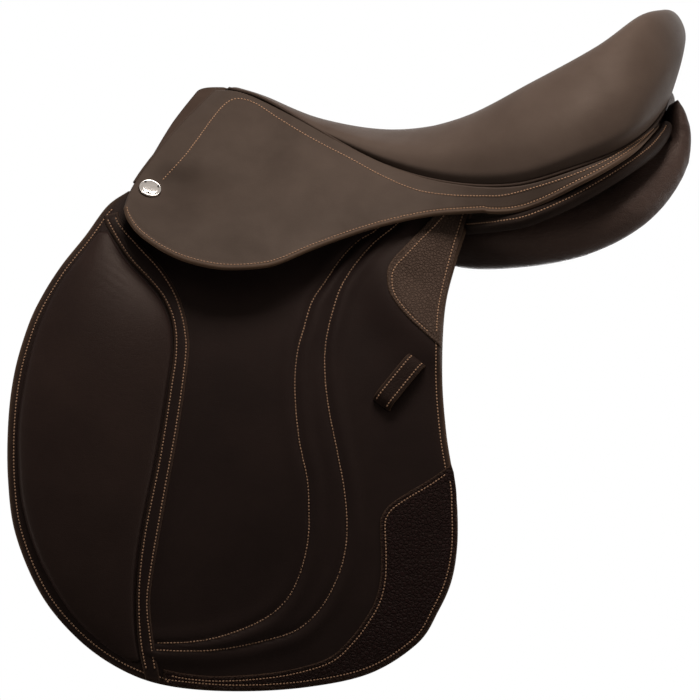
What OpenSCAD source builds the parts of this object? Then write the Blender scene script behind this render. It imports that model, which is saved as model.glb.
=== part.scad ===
// Jumping saddle with a forward-cut flap, a deep seat and a laminated tree
// X points to the horse's head, Y to its near side, Z up

/* [Seat] */
// Length from the pommel nose to the back of the cantle
seat_len = 384; // [340:1:430]
// Height of the cantle over the horse's back line
cantle_h = 170; // [150:1:190]
// Width of the seat at its widest
seat_w = 276; // [250:1:300]
// Reach of the pommel nose ahead of the balance point
seat_front = 152; // [140:1:165]
// Thickness of the seat leather
seat_leather = 3; // [2:0.5:4]
// Thickness of the seat foam at the middle
foam_t = 13; // [9:1:16]
// Radius of the piping between seat and skirt
welt_r = 2; // [1.5:0.1:2.5]
// Thickness of the leather facings at pommel and cantle
facing_t = 2; // [1.5:0.1:2.5]

/* [Skirt] */
// Thickness of the skirt leather
skirt_t = 3.2; // [2.5:0.1:4]
// Free space between flap and skirt for the bar
skirt_gap = 16; // [15:0.5:20]
// Height of the line where the skirt flexes
skirt_fold_z = 8; // [4:0.5:12]
// Diameter of the stud on the skirt
stud_d = 18.4; // [14:0.2:22]
// Thickness of the stud head
stud_t = 2.4; // [1.6:0.1:3.5]
// Diameter of the stud nail
nail_d = 3; // [2:0.1:4]
// Distance of the stud head from the leather's middle fall
stud_bed = 0.8; // [0.6:0.1:1]

/* [Flap] */
// Width of the flap at its widest
flap_w = 359; // [330:1:390]
// Height of the flap from its top to its lower edge
flap_h = 400; // [370:1:430]
// Reach of the flap front ahead of the balance point
flap_front = 310; // [290:1:330]
// Height of the flap top over the horse's back line
flap_top = 25.6; // [22:0.2:28]
// Thickness of the flap leather
flap_t = 4.5; // [3.5:0.1:6]
// Radius of the flap's bend round the horse
flap_bend_r = 940; // [800:10:1100]
// Lean of the flap from upright at its flex line
flap_lean = 22.2; // [18:0.2:26]
// Distance of the flap's flex line outside the tree's point
flap_stand = 16.7; // [14:0.1:20]
// Height of the flap's flex line
flap_fold_z = -47; // [-52:0.5:-44]
// Clear strip left on each side of the flex line
flex_gap = 2.5; // [2:0.1:4]
// Free edge round the neck of the stirrup bar
neck_play = 1; // [0.6:0.1:1.5]

/* [Knee pad and patches] */
// Height of the knee pad at its fullest
pad_t = 12; // [8:0.5:16]
// Thickness of the knee pad at its edge
pad_edge = 1; // [0.6:0.1:2]
// Thickness of the knee strip
strip_t = 2.2; // [1.5:0.1:3]
// Thickness of the grained patches
patch_t = 1.4; // [1:0.1:2]
// Length of the keeper loop
keeper_len = 48; // [40:1:60]
// Width of the keeper loop
keeper_w = 17; // [14:0.5:22]
// Free height under the keeper loop
keeper_gap = 6; // [5.5:0.1:8]
// Thickness of the keeper leather
keeper_t = 2.4; // [2:0.1:3.5]
// Length of each sewn foot of the keeper
keeper_foot = 7; // [5:0.5:9]
// Turn of the keeper from the saddle's length
keeper_turn = 52; // [40:1:65]

/* [Under the flap] */
// Space between flap and sweat flap
girth_gap = 15.5; // [14:0.5:18]
// Thickness of the sweat flap leather
sweat_t = 3; // [2:0.1:4]
// Thickness of the knee and thigh blocks
block_t = 13; // [10:0.5:14]
// Width of a billet strap
billet_w = 28; // [24:0.5:32]
// Length of a billet strap
billet_len = 300; // [260:5:320]
// Thickness of a billet strap
billet_t = 4; // [3:0.1:5]
// Diameter of a billet hole
billet_hole_d = 6; // [5:0.1:7]
// Pitch of the billet holes
billet_pitch = 25; // [20:1:30]
// Reach of the front billet ahead of the balance point
billet_x = 76; // [66:1:80]
// Distance between the two billets of a side
billet_step = 46; // [44:1:56]
// Height of the billet pivot
billet_z = -16; // [-22:0.5:-12]
// Space between flap and billets
billet_gap = 2; // [1.5:0.1:2.5]
// Length of a billet over its pivot
billet_head = 14; // [12:0.5:16]
// Thickness of the tree point pocket
pocket_t = 2; // [1.5:0.1:2.5]
// Number of holes in a billet
billet_holes = 6; // [4:1:7]

/* [Tree and bars] */
// Thickness of the laminated tree
tree_t = 9; // [7:0.5:11]
// Width of the tree head
head_w = 52; // [44:1:60]
// Thickness of the steel plates
plate_t = 2.6; // [2:0.1:4]
// Thickness of the webbing
web_t = 1.7; // [1.2:0.1:2]
// Reach of the stirrup bar ahead of the balance point
bar_x = 128; // [122:1:134]
// Height of the stirrup bar
bar_z = -22; // [-25:0.5:-20]
// Length of the stirrup bar behind its neck
bar_len = 66; // [56:1:76]
// Length of the neck between bar and plate
neck_len = 12; // [10:0.5:14]
// Length of the bar's plate ahead of the neck
plate_reach = 22; // [20:1:26]
// Length of the bar's plate behind the neck
plate_back = 20; // [16:1:24]
// Height of the stirrup bar section
bar_h = 13; // [11:0.5:15]
// Thickness of the stirrup bar section
bar_t = 5.6; // [4.5:0.1:6.5]
// Free space between flap and stirrup bar
bar_gap = 7; // [6.5:0.1:8]
// Length of the hinged safety catch
catch_len = 26; // [20:1:32]
// Diameter of the catch pin
pin_d = 4; // [3:0.1:5]
// Diameter of the rivets
rivet_d = 6; // [4:0.1:8]

/* [Panel] */
// Thickness of the panel at its fullest
panel_t = 46; // [40:1:52]
// Width of the panel at its widest
panel_w = 100; // [90:1:110]
// Diameter of the panel roll
roll_d = 11; // [8:0.5:14]

/* [Clearances] */
// Play between pieces that are sewn or nailed together
fit = 0.3; // [0.25:0.05:0.35]
// Play between pieces that turn in each other
play = 0.25; // [0.2:0.05:0.3]

/* [Hidden] */
// Smoothness of round features
round_fn = 48;
// Smoothness of the flap's bend
bend_fn = 360;
// Steps between two stations of the seat
seat_steps = 2;
// Steps between two rings of the seat
ring_steps = 2;
leather_colour = [0.30, 0.17, 0.10];
dark_leather_colour = [0.20, 0.12, 0.08];
edge_colour = [0.45, 0.28, 0.16];
wood_colour = [0.76, 0.60, 0.40];
steel_colour = [0.66, 0.67, 0.68];
foam_colour = [0.86, 0.84, 0.74];
web_colour = [0.80, 0.76, 0.64];

// Smooth runs through points
function mix(a, b, s) = a + (b - a) * s;
function unit(v) = v / norm(v);
function spline(a, b, c, d, s) =
    b + (c - a + (2 * a - 5 * b + 4 * c - d + (3 * (b - c) + d - a) * s) * s) * s / 2;
function run_at(p, t) =
    let (n = len(p) - 1, i = max(0, min(floor(t), n - 1)), b = p[i], c = p[i + 1])
    let (a = i > 0 ? p[i - 1] : 2 * b - c, d = i < n - 1 ? p[i + 2] : 2 * c - b)
    spline(a, b, c, d, t - i);
function run(p, steps) = [for (k = [0 : steps * (len(p) - 1)]) run_at(p, k / steps)];
function back(p) = [for (i = [len(p) - 1 : -1 : 0]) p[i]];
function flipped(p) = [p[0], -p[1], p[2]];

// A closed skin between two grids of points, the first one outside
module slab(top, bottom) {
    rows = len(top);
    cols = len(top[0]);
    n = rows * cols;
    points = concat([for (r = top, p = r) p], [for (r = bottom, p = r) p]);
    faces = concat(
        [for (r = [0 : rows - 2], c = [0 : cols - 2]) each
            let (a = r * cols + c, b = a + 1, d = a + cols, e = d + 1) [[a, b, e], [a, e, d]]],
        [for (r = [0 : rows - 2], c = [0 : cols - 2]) each
            let (a = n + r * cols + c, b = a + 1, d = a + cols, e = d + 1) [[a, e, b], [a, d, e]]],
        [for (r = [0 : rows - 2]) each
            let (a = r * cols, d = a + cols) [[a, d, n + d], [a, n + d, n + a]]],
        [for (r = [0 : rows - 2]) each
            let (a = r * cols + cols - 1, d = a + cols) [[a, n + d, d], [a, n + a, n + d]]],
        [for (c = [0 : cols - 2]) each [[c, n + c, n + c + 1], [c, n + c + 1, c + 1]]],
        [for (c = [0 : cols - 2]) each
            let (a = (rows - 1) * cols + c) [[a, n + a + 1, n + a], [a, a + 1, n + a + 1]]]);
    polyhedron(points, faces, convexity = 8);
}

// A closed skin through rings, each one a closed loop of points
module loft(rings) {
    n = len(rings[0]);
    last = (len(rings) - 1) * n;
    points = [for (r = rings, p = r) p];
    faces = concat(
        [for (r = [0 : len(rings) - 2], i = [0 : n - 1]) each
            let (a = r * n + i, b = r * n + (i + 1) % n) [[a, b + n, b], [a, a + n, b + n]]],
        [for (i = [1 : n - 2]) [0, i, i + 1]],
        [for (i = [1 : n - 2]) [last, last + i + 1, last + i]]);
    polyhedron(points, faces, convexity = 8);
}

module off() mirror([0, 1, 0]) children();
module both() {
    children();
    off() children();
}

// Seat surface, a net of shares of seat length, half width and cantle height
// Rings run from the piping up the side, over the rim and down to the middle line
// Stations run from the pommel nose along the near side to the back of the cantle
seat_net_shares = [
    [[0.040, 0, 0.633], [0.054, 0.109, 0.627], [0.119, 0.225, 0.581], [0.235, 0.355, 0.435],
        [0.375, 0.551, 0.273], [0.510, 0.754, 0.188], [0.646, 0.920, 0.179], [0.771, 1.000, 0.259],
        [0.875, 0.899, 0.358], [0.942, 0.565, 0.485], [0.973, 0, 0.640]],
    [[0.042, 0, 0.636], [0.056, 0.105, 0.631], [0.121, 0.217, 0.585], [0.237, 0.348, 0.447],
        [0.377, 0.551, 0.311], [0.515, 0.754, 0.245], [0.652, 0.935, 0.254], [0.781, 1.022, 0.353],
        [0.894, 0.928, 0.461], [0.965, 0.594, 0.574], [0.988, 0, 0.715]],
    [[0.046, 0, 0.639], [0.060, 0.094, 0.634], [0.123, 0.192, 0.591], [0.240, 0.312, 0.468],
        [0.381, 0.493, 0.372], [0.523, 0.696, 0.358], [0.665, 0.870, 0.433], [0.798, 0.935, 0.574],
        [0.912, 0.833, 0.687], [0.985, 0.522, 0.780], [1.006, 0, 0.885]],
    [[0.052, 0, 0.640], [0.065, 0.072, 0.637], [0.125, 0.145, 0.595], [0.242, 0.232, 0.485],
        [0.385, 0.362, 0.421], [0.531, 0.536, 0.482], [0.679, 0.681, 0.652], [0.815, 0.696, 0.821],
        [0.908, 0.565, 0.966], [0.964, 0.348, 0.997], [0.984, 0, 0.994]],
    [[0.062, 0, 0.640], [0.071, 0.043, 0.638], [0.127, 0.080, 0.597], [0.242, 0.123, 0.492],
        [0.388, 0.188, 0.439], [0.533, 0.275, 0.487], [0.685, 0.333, 0.612], [0.817, 0.333, 0.762],
        [0.885, 0.275, 0.878], [0.925, 0.159, 0.950], [0.948, 0, 0.984]],
    [[0.070, 0, 0.638], [0.088, 0, 0.627], [0.127, 0, 0.598], [0.242, 0, 0.494],
        [0.388, 0, 0.442], [0.533, 0, 0.482], [0.685, 0, 0.588], [0.800, 0, 0.695],
        [0.855, 0, 0.775], [0.885, 0, 0.835], [0.905, 0, 0.880]]];
stations = len(seat_net_shares[0]) - 1;
rings = len(seat_net_shares) - 1;
function seat_place(s) = [seat_front - s[0] * seat_len, s[1] * seat_w / 2, s[2] * cantle_h];
function seat_knot(r, j) =
    let (k = (j + 4 * stations) % (2 * stations), p = seat_net_shares[r][min(k, 2 * stations - k)])
    k > stations ? flipped(p) : p;
function seat_ring(r, q) =
    r < 0 ? 2 * seat_ring(0, q) - seat_ring(1, q) :
    r > rings ? flipped(seat_ring(2 * rings - r, q)) :
    let (j = floor(q), k = [for (i = [-1 : 2]) seat_knot(r, j + i)])
    spline(k[0], k[1], k[2], k[3], q - j);
function seat_at(q, v) =
    let (i = min(floor(v), rings - 1), k = [for (r = [-1 : 2]) seat_ring(i + r, q)])
    seat_place(spline(k[0], k[1], k[2], k[3], v - i));
loop_n = 2 * stations * seat_steps;
ring_n = rings * ring_steps;
seat_grid = [for (r = [0 : ring_n])
    [for (i = [0 : loop_n - 1]) seat_at(i / seat_steps, r / ring_steps)]];
function seat_node(r, i) =
    let (k = (i + loop_n) % loop_n)
    r > ring_n ? flipped(seat_grid[2 * ring_n - r][k]) : seat_grid[max(0, r)][k];
function middle_slope(i) =
    let (k = min(i, loop_n - i), before = max(k - 1, 0), after = min(k + 1, loop_n / 2))
    let (t = seat_node(ring_n, after) - seat_node(ring_n, before))
    unit([t[2], 0, -t[0]]);
function seat_normal(r, i) =
    r == ring_n ? middle_slope(i) :
    let (along = seat_node(r, i + 1) - seat_node(r, i - 1))
    unit(cross(along, seat_node(r + 1, i) - seat_node(r - 1, i)));
seat_normals = [for (r = [0 : ring_n]) [for (i = [0 : loop_n - 1]) seat_normal(r, i)]];
function seat_in(r, i, d) = let (k = (i + loop_n) % loop_n) seat_grid[r][k] - d * seat_normals[r][k];
// Foam thickness from the side up to the rim and on to the middle
foam_shares = [0.30, 0.30, 0.32, 0.34, 0.36, 0.36, 0.36, 0.50, 0.75, 0.95, 1];
function foam_top() = seat_leather + fit;
function foam_low(r) = foam_top() + foam_t * foam_shares[r];
function web_top(r) = foam_low(r) + fit;
function tree_top(r) = web_top(r) + web_t + fit;

// A skin over the whole seat from one ring up to the middle line
module seat_skin(first, outer, inner) {
    count = ring_n - first;
    half = count * loop_n;
    each_n = half + loop_n / 2 + 1;
    points = concat(
        [for (r = [first : ring_n - 1], i = [0 : loop_n - 1]) seat_in(r, i, outer[r])],
        [for (i = [0 : loop_n / 2]) seat_in(ring_n, i, outer[ring_n])],
        [for (r = [first : ring_n - 1], i = [0 : loop_n - 1]) seat_in(r, i, inner[r])],
        [for (i = [0 : loop_n / 2]) seat_in(ring_n, i, inner[ring_n])]);
    function at(r, i) =
        let (k = i % loop_n) r < count ? r * loop_n + k : half + min(k, loop_n - k);
    faces = concat(
        [for (r = [0 : count - 1], i = [0 : loop_n - 1]) each
            [[at(r, i), at(r + 1, i), at(r + 1, i + 1)], [at(r, i), at(r + 1, i + 1), at(r, i + 1)]]],
        [for (r = [0 : count - 1], i = [0 : loop_n - 1]) each
            [[each_n + at(r, i), each_n + at(r + 1, i + 1), each_n + at(r + 1, i)],
                [each_n + at(r, i), each_n + at(r, i + 1), each_n + at(r + 1, i + 1)]]],
        [for (i = [0 : loop_n - 1]) each
            [[at(0, i), at(0, i + 1), each_n + at(0, i + 1)],
                [at(0, i), each_n + at(0, i + 1), each_n + at(0, i)]]]);
    polyhedron(points, faces, convexity = 8);
}

module seat_cover() {
    color(leather_colour)
        seat_skin(0, [for (r = [0 : ring_n]) 0], [for (r = [0 : ring_n]) seat_leather]);
}

module seat_foam() {
    color(foam_colour)
        seat_skin(1, [for (r = [0 : ring_n]) foam_top()], [for (r = [0 : ring_n]) foam_low(r)]);
}

// Tube along a path of points, with a radius and a side direction at each point
tube_sides = 8;
module tube(path, radius, side) {
    loft([for (k = [0 : len(path) - 1])
        let (t = unit(path[min(k + 1, len(path) - 1)] - path[max(k - 1, 0)]))
        let (u = unit(side[k] - t * (side[k] * t)), w = cross(t, u))
        [for (m = [0 : tube_sides - 1]) let (a = 360 * m / tube_sides)
            path[k] + radius[k] * (u * cos(a) + w * sin(a))]]);
}

welt_first = 1;
module seat_welt() {
    list = [for (i = [welt_first : loop_n - welt_first]) i];
    path = [for (i = list) seat_grid[0][i] + seat_normals[0][i] * (welt_r + fit)];
    color(dark_leather_colour)
        tube(path, [for (i = list) welt_r], [for (i = list) seat_normals[0][i]]);
}

// Tree: rails and cantle under the seat, and the arch of the head with its points
tree_first = 5;
tree_rings = [6, 7, 8, 9];
module tree_frame() {
    list = [for (i = [tree_first : loop_n - tree_first]) i];
    slab([for (i = list) [for (r = tree_rings) seat_in(r, i, tree_top(r))]],
        [for (i = list) [for (r = tree_rings) seat_in(r, i, tree_top(r)) - [0, 0, tree_t]]]);
}

// Path of the head from the near point up to the crown, as shares of the seat
head_shares = [[-0.105, 0.773, -0.260], [-0.060, 0.665, -0.061], [-0.031, 0.585, 0.070],
    [0.006, 0.410, 0.235], [0.044, 0.240, 0.370], [0.060, 0.100, 0.440], [0.064, 0, 0.452]];
head_width_shares = [0.62, 0.86, 1, 1, 1, 0.95, 0.92];
head_near = [for (s = head_shares) seat_place(s)];
head_turn = [for (i = [len(head_near) - 2 : -1 : 0]) i];
head_knots = concat(head_near, [for (i = head_turn) flipped(head_near[i])]);
head_widths = concat(head_width_shares, [for (i = head_turn) head_width_shares[i]]);
module head_band(from, to, steps, drop, thick, width_share) {
    list = [for (k = [from * steps : to * steps]) k / steps];
    path = [for (t = list) run_at(head_knots, t)];
    widths = [for (t = list) run_at(head_widths, t) * head_w * width_share / 2];
    loft([for (k = [0 : len(path) - 1])
        let (e = 0.01, t = unit(run_at(head_knots, list[k] + e) - run_at(head_knots, list[k] - e)))
        let (u = unit([1, 0, 0] - t * t[0]), w = cross(u, t), c = path[k] + w * drop)
        [c + u * widths[k] + w * thick / 2, c + u * widths[k] - w * thick / 2,
            c - u * widths[k] - w * thick / 2, c - u * widths[k] + w * thick / 2]]);
}
head_last = len(head_knots) - 1;

module tree() {
    color(wood_colour) union() {
        tree_frame();
        head_band(0, head_last, 4, 0, tree_t, 1);
    }
}

gullet_from = 2;
gullet_share = 0.62;
module gullet_plate() {
    color(steel_colour)
        head_band(gullet_from, head_last - gullet_from, 4,
            tree_t / 2 + 2 * fit + plate_t / 2, plate_t, gullet_share);
}

spring_rings = [7, 8];
spring_first = 7;
spring_last = 15;
module tree_springs() {
    list = [for (i = [spring_first : spring_last]) i];
    low = tree_t + fit;
    color(steel_colour) both()
        slab([for (i = list) [for (r = spring_rings) seat_in(r, i, tree_top(r)) - [0, 0, low]]],
            [for (i = list) [for (r = spring_rings) seat_in(r, i, tree_top(r)) - [0, 0, low + plate_t]]]);
}

rivet_head_share = 1.6;
rivet_places = [2, 3, 4];
module rivet(length) {
    cylinder(d = rivet_d, h = length, $fn = round_fn);
    translate([0, 0, -rivet_d / 4])
        cylinder(d = rivet_d * rivet_head_share, h = rivet_d / 4, $fn = round_fn);
}
module tree_rivets() {
    grip = tree_t + fit + plate_t;
    color(steel_colour) both() for (t = rivet_places) {
        e = 0.01;
        along = unit(run_at(head_knots, t + e) - run_at(head_knots, t - e));
        u = unit([1, 0, 0] - along * along[0]);
        w = cross(u, along);
        start = run_at(head_knots, t) + w * (grip - tree_t / 2 + fit);
        multmatrix([[u[0], along[0], -w[0], start[0]], [u[1], along[1], -w[1], start[1]],
            [u[2], along[2], -w[2], start[2]], [0, 0, 0, 1]]) rivet(grip - fit);
    }
}

web_rings = [8, 9];
module seat_web() {
    list = [for (i = [tree_first - 1 : loop_n / 2 - 2]) i];
    lines = concat([for (r = web_rings) [r, 1]], [[ring_n, 1]],
        [for (r = back(web_rings)) [r, -1]]);
    function place(i, l, d) =
        let (p = seat_in(l[0], i, web_top(l[0]) + d)) l[1] > 0 ? p : flipped(p);
    color(web_colour) slab([for (i = list) [for (l = lines) place(i, l, 0)]],
        [for (i = list) [for (l = lines) place(i, l, web_t)]]);
}

// Flap frame: outlines are shares of flap width and height, layers bend round one long axis
flap_fold_y = head_near[0][1] + flap_stand;
bend_y = flap_fold_y - flap_bend_r * cos(flap_lean);
bend_z = flap_fold_z - flap_bend_r * sin(flap_lean);
bend_reach = flap_w * 1.2;
layer_reach = bend_y + flap_bend_r * 1.1;
function flap_place(s) = [flap_front - s[0] * flap_w, flap_top - s[1] * flap_h];
function flap_run(shares, steps) = run([for (s = shares) flap_place(s)], steps);
function lean_at(z) = asin((z - bend_z) / flap_bend_r);
function bent(x, z, h) =
    let (a = lean_at(z), r = flap_bend_r + h) [x, bend_y + r * cos(a), bend_z + r * sin(a)];
module flap_layer(outline, low, high) {
    intersection() {
        translate([flap_front + bend_reach / 10, bend_y, bend_z]) rotate([0, -90, 0]) difference() {
            cylinder(r = flap_bend_r + high, h = bend_reach, $fn = bend_fn);
            translate([0, 0, -fit])
                cylinder(r = flap_bend_r + low, h = bend_reach + 2 * fit, $fn = bend_fn);
        }
        translate([0, layer_reach, 0]) rotate([90, 0, 0])
            linear_extrude(layer_reach) polygon(outline);
    }
}
module above(z) {
    intersection() {
        children();
        translate([-flap_w, 0, z]) cube([2 * flap_w, layer_reach, flap_h]);
    }
}
module below(z) {
    intersection() {
        children();
        translate([-flap_w, 0, z - flap_h]) cube([2 * flap_w, layer_reach, flap_h]);
    }
}
// A frame on the flap: X along the saddle, Y down the flap, Z outward
module on_flap(x, z, h) {
    p = bent(x, z, h);
    translate(p) rotate([lean_at(z) - 90, 0, 0]) children();
}

flap_edge_shares = [
    [0.267, 0], [0.220, 0.030], [0.171, 0.090], [0.118, 0.150], [0.076, 0.210], [0.045, 0.270],
    [0.016, 0.360], [0.002, 0.460], [0.002, 0.580], [0.020, 0.690], [0.078, 0.810], [0.163, 0.900],
    [0.261, 0.960], [0.363, 0.990], [0.506, 1], [0.664, 0.992], [0.807, 0.964], [0.912, 0.904],
    [0.958, 0.840], [0.987, 0.780], [1, 0.710], [1, 0.630], [0.991, 0.570], [0.976, 0.484],
    [0.967, 0.370], [0.973, 0.240], [0.996, 0.150], [1.031, 0.050], [1.038, 0]];
flap_outline = flap_run(flap_edge_shares, 2);
module flap_top_part() {
    color(leather_colour) difference() {
        above(flap_fold_z + fit / 2) flap_layer(flap_outline, -flap_t, 0);
        on_flap(bar_x + bar_len / 2, bar_z, 0)
            translate([-neck_play, -bar_h / 2 - neck_play, -2 * flap_t])
                cube([neck_len + 2 * neck_play, bar_h + 2 * neck_play, 4 * flap_t]);
    }
}
module flap() {
    color(leather_colour) below(flap_fold_z - fit / 2) flap_layer(flap_outline, -flap_t, 0);
}

// Knee pad: a crowned cushion between the front stitch line and the groove
pad_front_shares = [
    [0.200, 0.084], [0.147, 0.134], [0.102, 0.182], [0.076, 0.236], [0.047, 0.316], [0.022, 0.436],
    [0.016, 0.524], [0.024, 0.632], [0.058, 0.740], [0.131, 0.856], [0.229, 0.938], [0.290, 0.966]];
pad_back_shares = [
    [0.214, 0.070], [0.261, 0.138], [0.310, 0.186], [0.341, 0.222], [0.361, 0.268], [0.365, 0.320],
    [0.356, 0.386], [0.330, 0.534], [0.296, 0.690], [0.283, 0.800], [0.287, 0.900], [0.305, 0.972]];
// Height of the crown down the pad, rows of place and share
pad_crown_shares = [
    [0.07, 0.06], [0.13, 0.22], [0.20, 0.38], [0.30, 0.68], [0.42, 0.95], [0.55, 1],
    [0.68, 0.90], [0.80, 0.66], [0.90, 0.38], [0.97, 0.08]];
pad_top_share = 0.088;
pad_low_share = 0.962;
pad_cols = 9;
// First column against a place in a rising run of [value, place] rows
function row_of(t, s, i = 0) = i >= len(t) - 2 || s < t[i + 1][1] ? i : row_of(t, s, i + 1);
function at_height(t, s) =
    let (i = row_of(t, s), a = t[i], b = t[i + 1])
    mix(a[0], b[0], (s - a[1]) / (b[1] - a[1]));
function crown_at(s) =
    at_height(run([for (r = pad_crown_shares) [r[1], r[0]]], 4), s);
fold_share = (flap_top - flap_fold_z) / flap_h;
pad_fine_front = run(pad_front_shares, 4);
pad_fine_back = run(pad_back_shares, 4);
// Fullness of the pad's cross-section, and its slope beside the flex line
pad_round_share = 0.7;
pad_slope_share = 0.9;
function pad_rise(u, s, room) =
    min(pad_edge + pad_t * crown_at(s) * pow(sin(180 * u), pad_round_share), room);
module pad_piece(from, to, rows, fold_at) {
    list = [for (k = [0 : rows]) mix(from, to, k / rows)];
    function place(s, u) =
        let (x0 = flap_place([at_height(pad_fine_front, s), s])[0])
        let (x1 = flap_place([at_height(pad_fine_back, s), s])[0] + 2 * fit)
        [mix(x0, x1, u), flap_place([0, s])[1]];
    function room(s) = (abs(s - fold_at) * flap_h - flex_gap) * pad_slope_share + pad_edge;
    top = [for (s = list) [for (c = [0 : pad_cols])
        let (u = c / pad_cols, p = place(s, u)) bent(p[0], p[1], fit + pad_rise(u, s, room(s)))]];
    low = [for (s = list) [for (c = [0 : pad_cols])
        let (u = c / pad_cols, p = place(s, u)) bent(p[0], p[1], fit)]];
    slab(top, low);
}
module knee_pad_tip() pad_piece(pad_top_share, fold_share - flex_gap / flap_h, 6, fold_share);
module knee_pad() {
    color(leather_colour) pad_piece(fold_share + flex_gap / flap_h, pad_low_share, 18, fold_share);
}
module knee_pad_tips() color(leather_colour) both() knee_pad_tip();

strip_back_shares = [
    [0.252, 0.064], [0.292, 0.106], [0.339, 0.152], [0.372, 0.196], [0.390, 0.236], [0.401, 0.280],
    [0.403, 0.334], [0.383, 0.468], [0.352, 0.624], [0.325, 0.766], [0.318, 0.830], [0.327, 0.904],
    [0.341, 0.978]];
strip_outline = concat(flap_run(pad_back_shares, 2), back(flap_run(strip_back_shares, 2)));
module knee_strip() {
    color(leather_colour)
        below(flap_fold_z - flex_gap) flap_layer(strip_outline, fit, fit + strip_t);
}
module knee_strip_tops() {
    color(leather_colour) both()
        above(flap_fold_z + flex_gap) flap_layer(strip_outline, fit, fit + strip_t);
}

// Grained patches sewn on the flap
thigh_front_shares = [
    [0.947, 0.058], [0.889, 0.114], [0.851, 0.152], [0.844, 0.186], [0.855, 0.220],
    [0.895, 0.264], [0.958, 0.314]];
thigh_back_shares = [[0.963, 0.312], [0.967, 0.240], [0.988, 0.152], [1.018, 0.070]];
thigh_outline = concat(flap_run(thigh_front_shares, 3), flap_run(thigh_back_shares, 2));
module thigh_patch() {
    color(dark_leather_colour)
        below(flap_fold_z - flex_gap) flap_layer(thigh_outline, fit, fit + patch_t);
}
module thigh_patch_tops() {
    color(dark_leather_colour) both()
        above(flap_fold_z + flex_gap) flap_layer(thigh_outline, fit, fit + patch_t);
}
calf_inner_shares = [
    [0.983, 0.552], [0.886, 0.606], [0.842, 0.636], [0.829, 0.680], [0.831, 0.734],
    [0.820, 0.814], [0.762, 0.896], [0.653, 0.950], [0.479, 0.968], [0.352, 0.958]];
calf_outer_shares = [
    [0.365, 0.983], [0.506, 0.994], [0.659, 0.984], [0.800, 0.954], [0.901, 0.896],
    [0.953, 0.837], [0.982, 0.778], [0.994, 0.710], [0.994, 0.630], [0.986, 0.572]];
calf_outline = concat(flap_run(calf_inner_shares, 3), flap_run(calf_outer_shares, 2));
module calf_patch() {
    color(dark_leather_colour) flap_layer(calf_outline, fit, fit + patch_t);
}

keeper_shares = [0.873, 0.386];
module keeper() {
    at = flap_place(keeper_shares);
    rise = keeper_gap + keeper_t;
    hollow = keeper_len - 2 * keeper_foot;
    color(dark_leather_colour) on_flap(at[0], at[1], fit) rotate([0, 0, keeper_turn])
        rotate([90, 0, 0]) translate([0, 0, -keeper_w / 2])
        linear_extrude(keeper_w) difference() {
            translate([-keeper_len / 2, 0]) square([keeper_len, rise]);
            translate([-hollow / 2, -fit]) square([hollow, keeper_gap + fit]);
        }
}

// Skirt lobe: a layer that clears the stirrup bar
lobe_edge_shares = [
    [0.256, 0.038], [0.263, 0.058], [0.281, 0.082], [0.305, 0.102], [0.350, 0.128], [0.405, 0.149],
    [0.479, 0.162], [0.555, 0.160], [0.604, 0.148], [0.677, 0.119], [0.762, 0.089], [0.826, 0.068],
    [0.913, 0.040]];
module skirt() {
    color(leather_colour) below(skirt_fold_z - fit / 2)
        flap_layer(flap_run(lobe_edge_shares, 3), skirt_gap, skirt_gap + skirt_t);
}
fold_rise = skirt_fold_z - bend_z;
fold_y = bend_y + sqrt(pow(flap_bend_r + skirt_gap, 2) - pow(fold_rise, 2));

// Fixed skirt: columns from the front seam to the tail, each from the piping down to the flex line
skirt_stations = [1.5, 2.5, 3.4, 4.23, 5, 6, 7, 8, 9];
skirt_front_shares = [[0.021, 0.078, 0.617], [-0.046, 0.290, 0.495], [-0.108, 0.543, 0.290]];
skirt_fold_shares = [-0.171, -0.069, 0.035, 0.173, 0.327, 0.502];
skirt_bow_shares = [
    [0.035, 0.377, 0.442], [-0.015, 0.609, 0.254], [0.131, 0.464, 0.358], [0.087, 0.638, 0.207],
    [0.252, 0.560, 0.262], [0.215, 0.712, 0.150], [0.381, 0.680, 0.169], [0.356, 0.770, 0.106],
    [0.506, 0.800, 0.127], [0.504, 0.825, 0.089]];
tail_edge_shares = [
    [0.650, 0.971, 0.068], [0.790, 1.058, 0.174], [0.890, 0.964, 0.301], [0.944, 0.628, 0.430]];
// Drop of the skirt's upper edge under the piping, as a share of its leather
skirt_drop_share = 1;
function skirt_head(q) =
    seat_at(q, 0) + [0, welt_r / 2, -2 * welt_r - 2 * fit - skirt_t * skirt_drop_share];
function fold_place(s) = [seat_front - s * seat_len, fold_y, skirt_fold_z + fit / 2];
skirt_net = concat(
    [concat([for (s = skirt_front_shares) seat_place(s)], [fold_place(skirt_fold_shares[0])])],
    [for (k = [0 : len(skirt_fold_shares) - 2])
        [skirt_head(skirt_stations[k]), seat_place(skirt_bow_shares[2 * k]),
            seat_place(skirt_bow_shares[2 * k + 1]), fold_place(skirt_fold_shares[k + 1])]],
    [for (k = [0 : len(tail_edge_shares) - 1])
        let (a = skirt_head(skirt_stations[k + 5]), b = seat_place(tail_edge_shares[k]))
        [a, mix(a, b, 1 / 3), mix(a, b, 2 / 3), b]]);
skirt_cols = 3;
skirt_rows = 2;
function skirt_at(t, v) = run_at([for (c = skirt_net) run_at(c, v)], t);
function skirt_out(t, v) =
    let (e = 0.02, a = skirt_at(t + e, v) - skirt_at(t - e, v))
    let (b = skirt_at(t, v + e) - skirt_at(t, v - e))
    unit(cross(b, a));
skirt_last = len(skirt_net) - 1;
stud_at = [0.42, 2.62];
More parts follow.
